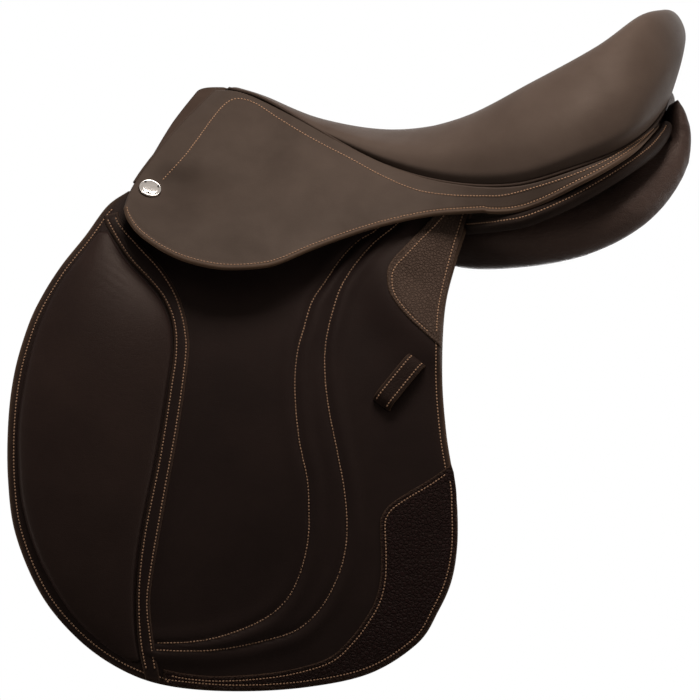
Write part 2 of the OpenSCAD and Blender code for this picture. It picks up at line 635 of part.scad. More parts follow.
module skirt_top() {
    list = [for (k = [0 : skirt_cols * skirt_last]) k / skirt_cols];
    downs = [for (k = [3 * skirt_rows : -1 : 0]) k / skirt_rows];
    flat = [0, 1, 0];
    function lift(t, v) = v > 2.9 ? flat : skirt_out(t, v);
    color(leather_colour) difference() {
        slab([for (t = list) [for (v = downs) skirt_at(t, v) + skirt_t * lift(t, v)]],
            [for (t = list) [for (v = downs) skirt_at(t, v)]]);
        stud_frame(0) translate([0, 0, -2 * skirt_t])
            cylinder(d = nail_d + 2 * play, h = 5 * skirt_t, $fn = round_fn);
    }
}
module stud_frame(rise) {
    n = skirt_out(stud_at[0], stud_at[1]);
    u = unit([1, 0, 0] - n * n[0]);
    w = cross(n, u);
    p = skirt_at(stud_at[0], stud_at[1]) + n * rise;
    multmatrix([[u[0], w[0], n[0], p[0]], [u[1], w[1], n[1], p[1]],
        [u[2], w[2], n[2], p[2]], [0, 0, 0, 1]]) children();
}
// Half profile of the stud head, shares of its radius and thickness
stud_shares = [[0, 0], [1, 0], [1, 0.5], [0.84, 0.88], [0, 1]];
module skirt_studs() {
    color(steel_colour) both() stud_frame(skirt_t + stud_bed) {
        rotate_extrude($fn = round_fn)
            polygon([for (s = stud_shares) [s[0] * stud_d / 2, s[1] * stud_t]]);
        translate([0, 0, -3 * skirt_t])
            cylinder(d = nail_d, h = 3 * skirt_t + stud_t / 4, $fn = round_fn);
    }
}

// Facings over the front of the head and under the back of the cantle
facing_mid_shares = [
    [-0.154, 0.600, 0.160], [-0.118, 0.470, 0.285], [-0.070, 0.255, 0.468], [-0.024, 0.070, 0.608],
    [-0.022, 0, 0.612]];
facing_low_shares = [
    [-0.140, 0.520, 0.130], [-0.098, 0.375, 0.215], [-0.052, 0.195, 0.370], [-0.030, 0.055, 0.470],
    [-0.028, 0, 0.476]];
facing_edge_shares = [
    [-0.150, 0.675, 0.175], [-0.112, 0.535, 0.302], [-0.050, 0.282, 0.505], [0.022, 0.050, 0.638],
    [0.034, 0, 0.642]];
module pommel_facing() {
    rows = [facing_edge_shares, facing_mid_shares, facing_low_shares];
    whole = [for (r = rows) let (p = [for (s = r) seat_place(s)])
        run(concat(p, [for (i = [len(p) - 2 : -1 : 0]) flipped(p[i])]), 2)];
    n = len(whole[0]) - 1;
    function out(r, c) =
        let (a = whole[min(r + 1, 2)][c] - whole[max(r - 1, 0)][c])
        let (b = whole[r][min(c + 1, n)] - whole[r][max(c - 1, 0)])
        unit(cross(b, a));
    color(leather_colour) slab([for (c = [0 : n]) [for (r = [0 : 2]) whole[r][c]]],
        [for (c = [0 : n]) [for (r = [0 : 2]) whole[r][c] - facing_t * out(r, c)]]);
}
cantle_from = 17;
cantle_drop_shares = [0.006, 0, -0.150];
module cantle_facing() {
    list = [for (i = [cantle_from : loop_n - cantle_from]) i];
    function head(i) = seat_in(0, i, seat_leather + fit) - [0, 0, 2 * fit];
    function foot(i) =
        head(i) + [cantle_drop_shares[0] * seat_len, 0, cantle_drop_shares[2] * cantle_h];
    function into(i) = unit([seat_normals[0][i][0], seat_normals[0][i][1], 0]);
    function column(i) = [foot(i), mix(head(i), foot(i), 0.5), head(i)];
    color(leather_colour) slab([for (i = list) column(i)],
        [for (i = list) [for (p = column(i)) p - facing_t * into(i)]]);
}

// Under the flap: sweat flap, blocks, point pocket, webs and billets
sweat_high = -flap_t - girth_gap;
sweat_shares = [
    [0.300, 0.102], [0.232, 0.150], [0.171, 0.220], [0.134, 0.320], [0.116, 0.420], [0.111, 0.520],
    [0.120, 0.620], [0.149, 0.710], [0.205, 0.800], [0.294, 0.870], [0.405, 0.910], [0.539, 0.924],
    [0.673, 0.912], [0.784, 0.880], [0.873, 0.820], [0.918, 0.740], [0.935, 0.640], [0.935, 0.520],
    [0.922, 0.400], [0.913, 0.280], [0.915, 0.190], [0.915, 0.130], [0.900, 0.090]];
module sweat_flap() {
    color(dark_leather_colour)
        flap_layer(flap_run(sweat_shares, 2), sweat_high - sweat_t, sweat_high);
}
knee_block_shares = [
    [0.290, 0.272], [0.240, 0.276], [0.198, 0.315], [0.165, 0.400], [0.160, 0.520], [0.178, 0.640],
    [0.214, 0.740], [0.261, 0.740], [0.272, 0.620], [0.267, 0.500], [0.276, 0.410], [0.296, 0.345],
    [0.308, 0.292]];
thigh_block_shares = [
    [0.855, 0.220], [0.900, 0.280], [0.909, 0.400], [0.913, 0.520], [0.900, 0.560], [0.869, 0.500],
    [0.855, 0.400], [0.840, 0.280]];
function closed(shares, steps) =
    let (p = [for (s = shares) flap_place(s)], n = len(p))
    [for (i = [0 : n - 1], k = [0 : steps - 1])
        spline(p[(i + n - 1) % n], p[i], p[(i + 1) % n], p[(i + 2) % n], k / steps)];
module knee_block() {
    color(dark_leather_colour)
        flap_layer(closed(knee_block_shares, 2), sweat_high + fit, sweat_high + fit + block_t);
}
module thigh_block() {
    color(dark_leather_colour)
        flap_layer(closed(thigh_block_shares, 2), sweat_high + fit, sweat_high + fit + block_t);
}
// Pocket: outlines about the tree's point, as shares of the tree head's width
pocket_shares = [[0.504, 0.173], [-0.650, 0.173], [-0.525, -0.227], [0.387, -0.227]];
pocket_inner_shares = [[0.456, 0.342], [-0.602, 0.342], [-0.477, -0.165], [0.337, -0.165]];
function point_place(s) = [head_near[0][0] + s[0] * head_w, head_near[0][2] + s[1] * head_w];
module point_pocket() {
    color(dark_leather_colour) difference() {
        flap_layer([for (s = pocket_shares) point_place(s)], sweat_high + fit, -flap_t - fit);
        flap_layer([for (s = pocket_inner_shares) point_place(s)], sweat_high, -flap_t - fit - pocket_t);
    }
}
billet_high = -flap_t - play - billet_gap;
web_low = billet_high - billet_t - fit;
girth_from = 5;
girth_to = 8;
girth_rings = [8, 7, 6];
module girth_web() {
    list = [for (i = [girth_to : -1 : girth_from]) i];
    function drop(i, d) = let (x = seat_grid[6][i][0])
        [bent(x, skirt_fold_z - billet_gap, web_low + d),
            bent(x, billet_z - billet_w / 2, web_low + d)];
    color(web_colour) slab(
        [for (i = list)
            concat([for (r = girth_rings) seat_in(r, i, web_top(r) + fit / 2)], drop(i, 0))],
        [for (i = list)
            concat([for (r = girth_rings) seat_in(r, i, tree_top(r) - 3 * fit / 2)], drop(i, -web_t))]);
}
module billet(x) {
    half = billet_w / 2;
    top = billet_z + billet_head;
    low = top - billet_len;
    outline = [[x - half, top], [x + half, top], [x + half, low + half],
        [x + half / 2, low], [x - half / 2, low], [x - half, low + half]];
    color(dark_leather_colour) difference() {
        flap_layer(outline, billet_high - billet_t, billet_high);
        for (k = [0 : billet_holes - 1])
            on_flap(x, low + billet_w + k * billet_pitch, billet_high - 2 * billet_t)
                cylinder(d = billet_hole_d, h = 4 * billet_t, $fn = round_fn);
    }
}

// Stirrup bar with its plate, and the catch hinged at its open end
bar_low = bar_gap;
bar_high = bar_gap + bar_t;
plate_high = -flap_t - 2 * fit;
lap_r = bar_h / 2 - play;
pin_x = -bar_len / 2 + lap_r;
module bar_frame() on_flap(bar_x, bar_z, 0) children();
module stirrup_bar() {
    half = bar_len / 2;
    mid = bar_low + bar_t / 2;
    color(steel_colour) bar_frame() difference() {
        union() {
            translate([pin_x, -bar_h / 2, bar_low]) cube([half + neck_len - pin_x, bar_h, bar_t]);
            translate([pin_x, 0, bar_low]) cylinder(r = lap_r, h = bar_t, $fn = round_fn);
            translate([half, -bar_h / 2, plate_high - plate_t])
                cube([neck_len, bar_h, bar_high - plate_high + plate_t]);
            translate([half - plate_back, -bar_h / 2, plate_high - plate_t])
                cube([plate_back + neck_len + plate_reach, bar_h, plate_t]);
        }
        translate([pin_x, 0, mid - play / 2])
            cylinder(r = lap_r + 2 * play, h = bar_t, $fn = round_fn);
        translate([-bar_len, -bar_h, mid - play / 2]) cube([bar_len + pin_x, 2 * bar_h, bar_t]);
        translate([pin_x - fit, -bar_h, mid - play / 2]) cube([lap_r + 2 * play + fit, bar_h, bar_t]);
        translate([pin_x, 0, 0]) cylinder(d = pin_d + play, h = 2 * bar_high, $fn = round_fn);
    }
}
module bar_catch() {
    lap_low = bar_low + bar_t / 2 + play / 2;
    color(steel_colour) bar_frame() difference() {
        union() {
            translate([pin_x, 0, lap_low])
                cylinder(r = lap_r, h = bar_high - lap_low, $fn = round_fn);
            translate([pin_x - catch_len, -lap_r, lap_low])
                cube([catch_len, 2 * lap_r, bar_high - lap_low]);
            translate([pin_x - catch_len, -lap_r, bar_low])
                cube([catch_len - lap_r, 2 * lap_r, bar_t]);
        }
        translate([pin_x, 0, bar_low - play])
            cylinder(r = lap_r + 2 * play, h = lap_low - bar_low + play, $fn = round_fn);
        translate([pin_x, 0, 0]) cylinder(d = pin_d + play, h = 2 * bar_high, $fn = round_fn);
    }
}
module catch_pins() {
    color(steel_colour) both() bar_frame()
        translate([pin_x, 0, bar_low]) cylinder(d = pin_d, h = bar_t, $fn = round_fn);
}
bar_rivet_shares = [0.3, 0.8];
bar_rivet_d_share = 0.7;
module bar_rivets() {
    color(steel_colour) both() bar_frame() for (s = bar_rivet_shares)
        translate([bar_len / 2 + neck_len + plate_reach * s, 0, plate_high]) rotate([180, 0, 0])
            cylinder(d = rivet_d * bar_rivet_d_share, h = plate_t + tree_t, $fn = round_fn);
}

// Panel: a flocked cushion swept from the point to the back
// Rows of place, side, height, width share, thickness share, slope and pitch
panel_rows_shares = [
    [-0.142, 0.450, -0.030, 0.34, 0.12, 62, 0], [-0.112, 0.464, -0.025, 0.60, 0.40, 62, 0],
    [-0.040, 0.468, -0.025, 0.72, 0.50, 61, 0], [0.095, 0.440, -0.010, 0.72, 0.56, 57, 0],
    [0.240, 0.390, 0.006, 0.60, 0.66, 48, 0], [0.406, 0.350, -0.008, 0.52, 0.86, 36, 0],
    [0.530, 0.450, -0.072, 0.70, 0.98, 27, 2], [0.655, 0.545, -0.056, 0.90, 0.98, 22, 8],
    [0.780, 0.580, 0.008, 1.00, 0.96, 20, 22], [0.880, 0.575, 0.122, 0.98, 0.90, 18, 44],
    [0.950, 0.470, 0.270, 0.76, 0.78, 15, 68], [0.983, 0.400, 0.400, 0.58, 0.44, 12, 92],
    [0.982, 0.370, 0.545, 0.40, 0.16, 10, 104]];
panel_sides = 16;
// Roundness of the panel's section across and through
panel_round_shares = [0.62, 0.72];
function power(v, p) = sign(v) * pow(abs(v), p);
module panel() {
    rows = run(panel_rows_shares, 2);
    color(leather_colour) loft([for (s = rows)
        let (c = seat_place(s), out = [0, 1, 0], up = [sin(s[6]), 0, cos(s[6])])
        let (e1 = (out * cos(s[5]) - up * sin(s[5])) * s[3] * panel_w / 2)
        let (e2 = (out * sin(s[5]) + up * cos(s[5])) * s[4] * panel_t / 2)
        [for (m = [0 : panel_sides - 1]) let (a = -360 * m / panel_sides)
            c + e1 * power(cos(a), panel_round_shares[0]) + e2 * power(sin(a), panel_round_shares[1])]]);
}
roll_shares = [
    [0.562, 0.820, -0.033], [0.615, 0.900, -0.019], [0.698, 0.975, 0.014], [0.781, 1.000, 0.089],
    [0.865, 0.940, 0.204], [0.927, 0.770, 0.319], [0.956, 0.605, 0.427], [0.965, 0.520, 0.482]];
module panel_roll() {
    path = run([for (s = roll_shares) seat_place(s)], 3);
    fullness = [for (k = [1 : len(path)]) sqrt(sin(180 * k / (len(path) + 1)))];
    color(leather_colour)
        tube(path, [for (f = fullness) f * roll_d / 2], [for (p = path) [0, 1, 0.3]]);
}

tree();
gullet_plate();
tree_springs();
tree_rivets();
seat_web();
girth_web();  // near_girth_web
off() girth_web();  // off_girth_web
stirrup_bar();  // near_stirrup_bar
off() stirrup_bar();  // off_stirrup_bar
bar_catch();  // near_bar_catch
off() bar_catch();  // off_bar_catch
catch_pins();
bar_rivets();
seat_foam();
seat_cover();
seat_welt();
skirt_top();  // near_skirt_top
off() skirt_top();  // off_skirt_top
skirt();  // near_skirt
off() skirt();  // off_skirt
pommel_facing();
cantle_facing();
skirt_studs();
flap_top_part();  // near_flap_top
off() flap_top_part();  // off_flap_top
flap();  // near_flap
off() flap();  // off_flap
knee_pad_tips();
knee_pad();  // near_knee_pad
off() knee_pad();  // off_knee_pad
knee_strip_tops();
knee_strip();  // near_knee_strip
off() knee_strip();  // off_knee_strip
thigh_patch_tops();
thigh_patch();  // near_thigh_patch
off() thigh_patch();  // off_thigh_patch
calf_patch();  // near_calf_patch
off() calf_patch();  // off_calf_patch
keeper();  // near_keeper
off() keeper();  // off_keeper
sweat_flap();  // near_sweat_flap
off() sweat_flap();  // off_sweat_flap
knee_block();  // near_knee_block
off() knee_block();  // off_knee_block
thigh_block();  // near_thigh_block
off() thigh_block();  // off_thigh_block
point_pocket();  // near_point_pocket
off() point_pocket();  // off_point_pocket
panel();  // near_panel
off() panel();  // off_panel
panel_roll();  // near_panel_roll
off() panel_roll();  // off_panel_roll
billet(billet_x);  // near_front_billet
billet(billet_x - billet_step);  // near_rear_billet
off() billet(billet_x);  // off_front_billet
off() billet(billet_x - billet_step);  // off_rear_billet
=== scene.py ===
import math

import bpy
import numpy as np
from mathutils import Matrix, Vector
from mathutils.bvhtree import BVHTree


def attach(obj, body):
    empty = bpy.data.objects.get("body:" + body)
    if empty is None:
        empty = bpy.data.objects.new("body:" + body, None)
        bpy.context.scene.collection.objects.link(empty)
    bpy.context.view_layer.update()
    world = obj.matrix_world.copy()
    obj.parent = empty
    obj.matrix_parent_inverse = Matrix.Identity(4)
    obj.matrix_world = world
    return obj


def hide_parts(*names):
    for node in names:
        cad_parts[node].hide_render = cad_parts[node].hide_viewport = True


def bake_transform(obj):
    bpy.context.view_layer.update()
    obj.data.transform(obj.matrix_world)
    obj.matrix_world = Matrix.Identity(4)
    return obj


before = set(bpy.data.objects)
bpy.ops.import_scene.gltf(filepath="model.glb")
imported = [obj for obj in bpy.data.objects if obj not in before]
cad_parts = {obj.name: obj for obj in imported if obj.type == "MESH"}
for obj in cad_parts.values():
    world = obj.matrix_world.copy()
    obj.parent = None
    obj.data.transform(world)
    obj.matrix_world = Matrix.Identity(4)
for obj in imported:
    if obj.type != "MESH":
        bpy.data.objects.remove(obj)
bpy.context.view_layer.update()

# The tree: laminated beech bent over a mould, with a steel plate under the head,
# two spring steels along the rails and rivets through both. All of it is rigid,
# so the solids stay and take wood and steel finishes.


def add(tree, kind, inputs=None, **settings):
    """One shader node, with its settings made and its inputs set or linked."""
    node = tree.nodes.new(kind)
    for key, value in settings.items():
        setattr(node, key, value)
    for key, value in (inputs or {}).items():
        if isinstance(value, bpy.types.NodeSocket):
            tree.links.new(value, node.inputs[key])
        else:
            node.inputs[key].default_value = value
    return node


def math_of(tree, operation, a, b=0.0):
    """The result of one sum on two sockets or numbers."""
    return add(tree, "ShaderNodeMath", {0: a, 1: b}, operation=operation).outputs[0]


def spread(tree, value, low, high, to_low=0.0, to_high=1.0):
    """A value stretched from one range to another and held at its ends."""
    return add(tree, "ShaderNodeMapRange",
               {"Value": value, "From Min": low, "From Max": high, "To Min": to_low,
                "To Max": to_high}).outputs[0]


def mixed(tree, share, first, second):
    """A colour between two colours."""
    return add(tree, "ShaderNodeMix", {"Factor": share, "A": first, "B": second},
               data_type="RGBA").outputs["Result"]


def effect(name, inputs, outputs):
    """A node group with named sockets, and those sockets as they are inside it."""
    group = bpy.data.node_groups.new(name, "ShaderNodeTree")
    for socket, value in inputs.items():
        made = group.interface.new_socket(name=socket, in_out="INPUT", socket_type="NodeSocketFloat")
        made.default_value = value
    for socket in outputs:
        group.interface.new_socket(name=socket, in_out="OUTPUT", socket_type="NodeSocketFloat")
    return group, group.nodes.new("NodeGroupInput").outputs, group.nodes.new("NodeGroupOutput").inputs


def finish_of(name, rough=0.5, shine=0.5, metal=0.0):
    """A new material with its Principled shader and its node tree."""
    material = bpy.data.materials.new(name)
    material.use_nodes = True
    shader = material.node_tree.nodes["Principled BSDF"]
    shader.inputs["Roughness"].default_value = rough
    shader.inputs["Specular IOR Level"].default_value = shine
    shader.inputs["Metallic"].default_value = metal
    return material, shader, material.node_tree


def use_group(tree, group, **values):
    """A group placed in a material with its own values, and its outputs."""
    node = add(tree, "ShaderNodeGroup", node_tree=group)
    for key, value in values.items():
        node.inputs[key.replace("_", " ")].default_value = value
    return node.outputs


def bumped(tree, shader, height, depth):
    """A height in a bump node that feeds the shader's normal."""
    bump = add(tree, "ShaderNodeBump", {"Height": height, "Distance": depth})
    tree.links.new(bump.outputs["Normal"], shader.inputs["Normal"])


def own_places(tree):
    """Places in the piece's own frame."""
    return add(tree, "ShaderNodeTexCoord").outputs["Object"]


def noise(tree, at, scale, detail, **more):
    """A soft noise of one scale at the given places."""
    inputs = {"Vector": at, "Scale": scale, "Detail": detail, **more}
    return add(tree, "ShaderNodeTexNoise", inputs).outputs["Fac"]


def stretched(tree, at, scale):
    """Places drawn out by a scale along each axis."""
    return add(tree, "ShaderNodeMapping", {"Vector": at, "Scale": scale}).outputs[0]


def colour(tree, shader, share, first, second):
    """A blend of two colours as the shader's base colour."""
    tree.links.new(mixed(tree, share, first, second), shader.inputs["Base Color"])


plies, ply_in, ply_out = effect("wood_plies", {"Ply": 0.0015, "Streak": 60.0}, ["Layer", "Streaks"])
places = own_places(plies)
ply_level = add(plies, "ShaderNodeSeparateXYZ", {0: places}).outputs["Z"]
ply_height = math_of(plies, "DIVIDE", ply_level, ply_in["Ply"])
plies.links.new(math_of(plies, "PINGPONG", ply_height, 1.0), ply_out["Layer"])
long_way = stretched(plies, places, (0.12, 1.0, 1.0))
plies.links.new(noise(plies, long_way, ply_in["Streak"], 5.0), ply_out["Streaks"])

beech, beech_shader, beech_tree = finish_of("laminated_beech", shine=0.3)
wood = use_group(beech_tree, plies)
beech_tone = mixed(beech_tree, wood["Streaks"], (0.24, 0.13, 0.06, 1), (0.48, 0.30, 0.16, 1))
beech_line = spread(beech_tree, wood["Layer"], 0.0, 0.2, 0.35, 0.0)
colour(beech_tree, beech_shader, beech_line, beech_tone, (0.10, 0.05, 0.02, 1))
beech_rough = spread(beech_tree, wood["Streaks"], 0.2, 0.8, 0.6, 0.42)
beech_tree.links.new(beech_rough, beech_shader.inputs["Roughness"])
bumped(beech_tree, beech_shader, wood["Streaks"], 0.0003)

brushing, brush_in, brush_out = effect("brushed_marks", {"Scale": 400.0}, ["Marks", "Smears"])
places = own_places(brushing)
drawn = stretched(brushing, places, (0.06, 1.0, 1.0))
brushing.links.new(noise(brushing, drawn, brush_in["Scale"], 3.0), brush_out["Marks"])
brushing.links.new(noise(brushing, places, 45.0, 4.0), brush_out["Smears"])


def steel_finish(name, pale, dull, scale, rough=(0.22, 0.42)):
    """Satin steel with fine drawn marks and faint smears."""
    material, shader, tree = finish_of(name, metal=1.0)
    marks = use_group(tree, brushing, Scale=scale)
    colour(tree, shader, marks["Smears"], pale, dull)
    tree.links.new(spread(tree, marks["Marks"], 0.3, 0.7, *rough), shader.inputs["Roughness"])
    bumped(tree, shader, marks["Marks"], 0.00004)
    return material


satin_steel = steel_finish("satin_steel", (0.62, 0.60, 0.57, 1), (0.44, 0.43, 0.42, 1), 500.0)


def dress(names, material):
    """Puts a finish on solids that stay as they are."""
    for name in names:
        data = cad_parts[name].data
        data.materials.clear()
        data.materials.append(material)


dress(["tree"], beech)
dress(["gullet_plate", "tree_springs", "tree_rivets", "bar_rivets"], satin_steel)

# The stirrup bars: forged steel bars riveted to the tree points, each with a hinged
# safety catch on a pin at its open end. They are rigid, so the solids stay.

bar_steel = steel_finish("bar_steel", (0.55, 0.54, 0.52, 1), (0.36, 0.35, 0.34, 1), 260.0)
dress(["near_stirrup_bar", "off_stirrup_bar", "near_bar_catch", "off_bar_catch", "catch_pins"], bar_steel)

# The webs: woven linen webbing strained over the tree under the foam, and webs that
# hang from the rails to carry the girth billets. The seat and the flaps cover them.

weave, weave_in, weave_out = effect("web_weave", {"Threads": 420.0}, ["Height", "Tone"])
places = own_places(weave)
thread_run = {"Vector": places, "Scale": weave_in["Threads"], "Distortion": 0.4}
woven = [add(weave, "ShaderNodeTexWave", thread_run, bands_direction=way).outputs["Fac"] for way in "XY"]
weave.links.new(math_of(weave, "MAXIMUM", *woven), weave_out["Height"])
weave.links.new(noise(weave, places, 70.0, 4.0), weave_out["Tone"])

linen, linen_shader, linen_tree = finish_of("linen_web", rough=0.85, shine=0.2)
threads = use_group(linen_tree, weave)
colour(linen_tree, linen_shader, threads["Tone"], (0.34, 0.28, 0.18, 1), (0.52, 0.46, 0.33, 1))
bumped(linen_tree, linen_shader, threads["Height"], 0.0004)
dress(["seat_web", "near_girth_web", "off_girth_web"], linen)

# The panels: flocked leather cushions that bear on the horse's back, one each side of
# the gullet. Each is cut in two halves, sewn round its edge and stuffed with wool.

MM = 0.001
SEAT_LEN, SEAT_HALF, CANTLE_H, SEAT_FRONT = 384.0, 138.0, 170.0, 152.0


def seat_place(shares):
    """Shares of the seat's length, half width and height as places in millimetres."""
    s = np.asarray(shares, float)
    return np.stack([SEAT_FRONT - s[..., 0] * SEAT_LEN, s[..., 1] * SEAT_HALF, s[..., 2] * CANTLE_H], -1)


def cubic(a, b, c, d, s):
    """Places on a smooth step from b to c, with a before them and d after."""
    return b + s / 2 * (c - a + s * (2 * a - 5 * b + 4 * c - d + s * (3 * (b - c) + d - a)))


def along(points, t):
    """Places on a smooth run through points, at the given steps from point to point."""
    p = np.asarray(points, float)
    p = np.concatenate([2 * p[:1] - p[1:2], p, 2 * p[-1:] - p[-2:-1]])
    t = np.asarray(t, float)
    i = np.clip(np.floor(t).astype(int), 0, len(p) - 4)
    s = (t - i).reshape(t.shape + (1,) * (p.ndim - 1))
    return cubic(p[i], p[i + 1], p[i + 2], p[i + 3], s)


def run(points, count):
    """A smooth run through points, in a number of places from end to end."""
    return along(points, np.linspace(0, len(points) - 1, count))


def unit(v):
    """Directions of length 1."""
    return v / np.maximum(np.linalg.norm(v, axis=-1, keepdims=True), 1e-12)


def closed_faces(rows, cols):
    """Faces of a skin whose rows are closed loops."""
    r, c = np.meshgrid(np.arange(rows - 1), np.arange(cols), indexing="ij")
    n = (c + 1) % cols
    return np.stack([r * cols + c, r * cols + n, (r + 1) * cols + n, (r + 1) * cols + c], -1).reshape(-1, 4)


def make(name, places, faces, material, edge=None):
    """A smooth mesh from places in millimetres, with an optional mask of its edges."""
    mesh = bpy.data.meshes.new(name)
    mesh.from_pydata((np.asarray(places).reshape(-1, 3) * MM).tolist(), [],
                     [list(map(int, f)) for f in faces])
    mesh.validate()
    mesh.shade_smooth()
    if edge is not None:
        mask = mesh.attributes.new("edge", "FLOAT", "POINT")
        mask.data.foreach_set("value", np.asarray(edge, np.float32).ravel())
    mesh.materials.append(material)
    piece = bpy.data.objects.new(name, mesh)
    bpy.context.scene.collection.objects.link(piece)
    return piece


def loft(name, rings, material):
    """A closed skin through loops of places, with its two ends filled."""
    rings = np.asarray(rings)
    rows, cols = rings.shape[:2]
    ends = [list(range(cols))[::-1], list(range((rows - 1) * cols, rows * cols))]
    return make(name, rings, closed_faces(rows, cols).tolist() + ends, material)


def mirrored(piece, name):
    """The off-side twin of a near-side piece."""
    twin = bpy.data.objects.new(name, piece.data.copy())
    twin.data.transform(Matrix.Scale(-1, 4, (0, 1, 0)))
    twin.data.flip_normals()
    bpy.context.scene.collection.objects.link(twin)
    return twin


def stand_in(nodes):
    """Hides the solids that a piece stands for."""
    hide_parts(*nodes)


def pair(hold, piece, nodes):
    """Holds a near-side piece and its off-side twin to their bodies in place of their solids."""
    twin = mirrored(piece, piece.name.replace("near", "off"))
    for made, side, sign in ((piece, "near", 1), (twin, "off", -1)):
        hold(made, side, sign)
        stand_in([n.replace("near", side) for n in nodes])


def on_saddle(made, side=None, sign=None):
    """Fixes a piece to the saddle."""
    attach(made, "saddle")


grain, grain_in, grain_out = effect(
    "leather_grain", {"Pebbles": 900.0, "Pebble depth": 0.5, "Creases": 0.3},
    ["Height", "Tone", "Hollows", "Wear"])
places = own_places(grain)
waver = add(grain, "ShaderNodeTexNoise", {"Vector": places, "Scale": 300.0, "Detail": 2.0}).outputs["Color"]
wavered = add(grain, "ShaderNodeVectorMath", {0: waver, "Scale": 0.0009}, operation="SCALE").outputs[0]
wavered = add(grain, "ShaderNodeVectorMath", {0: places, 1: wavered}, operation="ADD").outputs[0]
cells = add(grain, "ShaderNodeTexVoronoi", {"Vector": wavered, "Scale": grain_in["Pebbles"]},
            feature="DISTANCE_TO_EDGE").outputs["Distance"]
hollows = spread(grain, cells, 0.02, 0.22, 1.0, 0.0)
pores = math_of(grain, "MULTIPLY", noise(grain, places, 2600.0, 2.0), 0.35)
folds = noise(grain, stretched(grain, places, (1.0, 1.0, 2.6)), 85.0, 5.0, Distortion=1.2)
fold_gap = math_of(grain, "ABSOLUTE", math_of(grain, "SUBTRACT", folds, 0.5))
fold_line = spread(grain, fold_gap, 0.0, 0.06, 1.0, 0.0)
pebble_height = math_of(grain, "MULTIPLY", hollows,
                        math_of(grain, "MULTIPLY", grain_in["Pebble depth"], -1.0))
fold_height = math_of(grain, "MULTIPLY", fold_line, math_of(grain, "MULTIPLY", grain_in["Creases"], -1.0))
height = math_of(grain, "ADD", math_of(grain, "ADD", pebble_height, fold_height), pores)
grain.links.new(height, grain_out["Height"])
clouds = noise(grain, places, 16.0, 5.0, Roughness=0.6)
grain.links.new(clouds, grain_out["Tone"])
grain.links.new(hollows, grain_out["Hollows"])
rubbed = add(grain, "ShaderNodeAttribute", attribute_name="edge").outputs["Fac"]
rubbed = math_of(grain, "MULTIPLY", rubbed, spread(grain, clouds, 0.35, 0.6, 0.55, 1.0))
grain.links.new(rubbed, grain_out["Wear"])


def leather_finish(name, deep, full, pebbles, pebble_depth, creases, depth,
                   rough=(0.44, 0.60), shine=0.03, worn=(0.082, 0.046, 0.027)):
    """Waxed leather: two tones in soft clouds, grain, darker hollows and rubbed edges."""
    material, shader, tree = finish_of(name, shine=shine)
    shader.inputs["Specular Tint"].default_value = (1.0, 0.76, 0.60, 1)
    skin = use_group(tree, grain, Pebbles=pebbles, Pebble_depth=pebble_depth, Creases=creases)
    tone = mixed(tree, spread(tree, skin["Tone"], 0.3, 0.7), (*deep, 1), (*full, 1))
    shade = math_of(tree, "MULTIPLY", skin["Hollows"], 0.5 * pebble_depth)
    tone = mixed(tree, shade, tone, (0.006, 0.004, 0.003, 1))
    colour(tree, shader, skin["Wear"], tone, (*worn, 1))
    tree.links.new(spread(tree, skin["Tone"], 0.3, 0.7, rough[1], rough[0]), shader.inputs["Roughness"])
    bumped(tree, shader, skin["Height"], depth)
    return material


panel_leather = leather_finish(
    "panel_leather", (0.031, 0.0185, 0.0145), (0.047, 0.0280, 0.0218),
    pebbles=700.0, pebble_depth=0.25, creases=0.5, depth=0.0003, rough=(0.34, 0.48), shine=0.10)

PANEL_W, PANEL_T, ROUND_ACROSS, ROUND_THROUGH = 100.0, 46.0, 0.66, 0.76
panel_rows = [
    [-0.142, 0.450, -0.030, 0.34, 0.12, 62, 0], [-0.112, 0.464, -0.025, 0.60, 0.40, 62, 0],
    [-0.040, 0.468, -0.025, 0.72, 0.50, 61, 0], [0.095, 0.440, -0.010, 0.72, 0.56, 57, 0],
    [0.240, 0.390, 0.006, 0.60, 0.66, 48, 0], [0.406, 0.350, -0.008, 0.52, 0.86, 36, 0],
    [0.530, 0.450, -0.072, 0.70, 0.98, 27, 2], [0.655, 0.545, -0.056, 0.90, 0.98, 22, 8],
    [0.780, 0.580, 0.008, 1.00, 0.96, 20, 22], [0.880, 0.575, 0.122, 0.98, 0.90, 18, 44],
    [0.950, 0.470, 0.270, 0.76, 0.78, 15, 68], [0.983, 0.400, 0.400, 0.60, 0.48, 12, 92],
    [0.981, 0.378, 0.510, 0.50, 0.36, 10, 101], [0.975, 0.368, 0.586, 0.32, 0.20, 10, 104]]


def panel_rings(rows, sides):
    """Rounded loops round the panel's middle line, from the point to the back."""
    fine = run(panel_rows, rows)
    slope, pitch = np.radians(fine[:, 5]), np.radians(fine[:, 6])
    out = np.array([0.0, 1.0, 0.0])
    up = np.stack([np.sin(pitch), 0 * pitch, np.cos(pitch)], -1)
    lean_c, lean_s = np.cos(slope)[:, None], np.sin(slope)[:, None]
    across = (out * lean_c - up * lean_s) * (fine[:, 3] * PANEL_W / 2)[:, None]
    through = (out * lean_s + up * lean_c) * (fine[:, 4] * PANEL_T / 2)[:, None]
    turn = np.linspace(0, 2 * np.pi, sides, endpoint=False)
    c, s = np.cos(turn), np.sin(turn)
    c, s = np.sign(c) * np.abs(c) ** ROUND_ACROSS, np.sign(s) * np.abs(s) ** ROUND_THROUGH
    return seat_place(fine[:, :3])[:, None] + across[:, None] * c[:, None] + through[:, None] * s[:, None]


FLOCK_VOXEL, FLOCK_PRESSURE, FLOCK_STEPS = 0.005, 4.0, 20


def settled(piece):
    """The piece as its modifiers shape it."""
    return piece.evaluated_get(bpy.context.evaluated_depsgraph_get())


def keep_shape(piece):
    """Makes the shape from a piece's modifiers its own."""
    piece.data = bpy.data.meshes.new_from_object(settled(piece))
    piece.modifiers.clear()


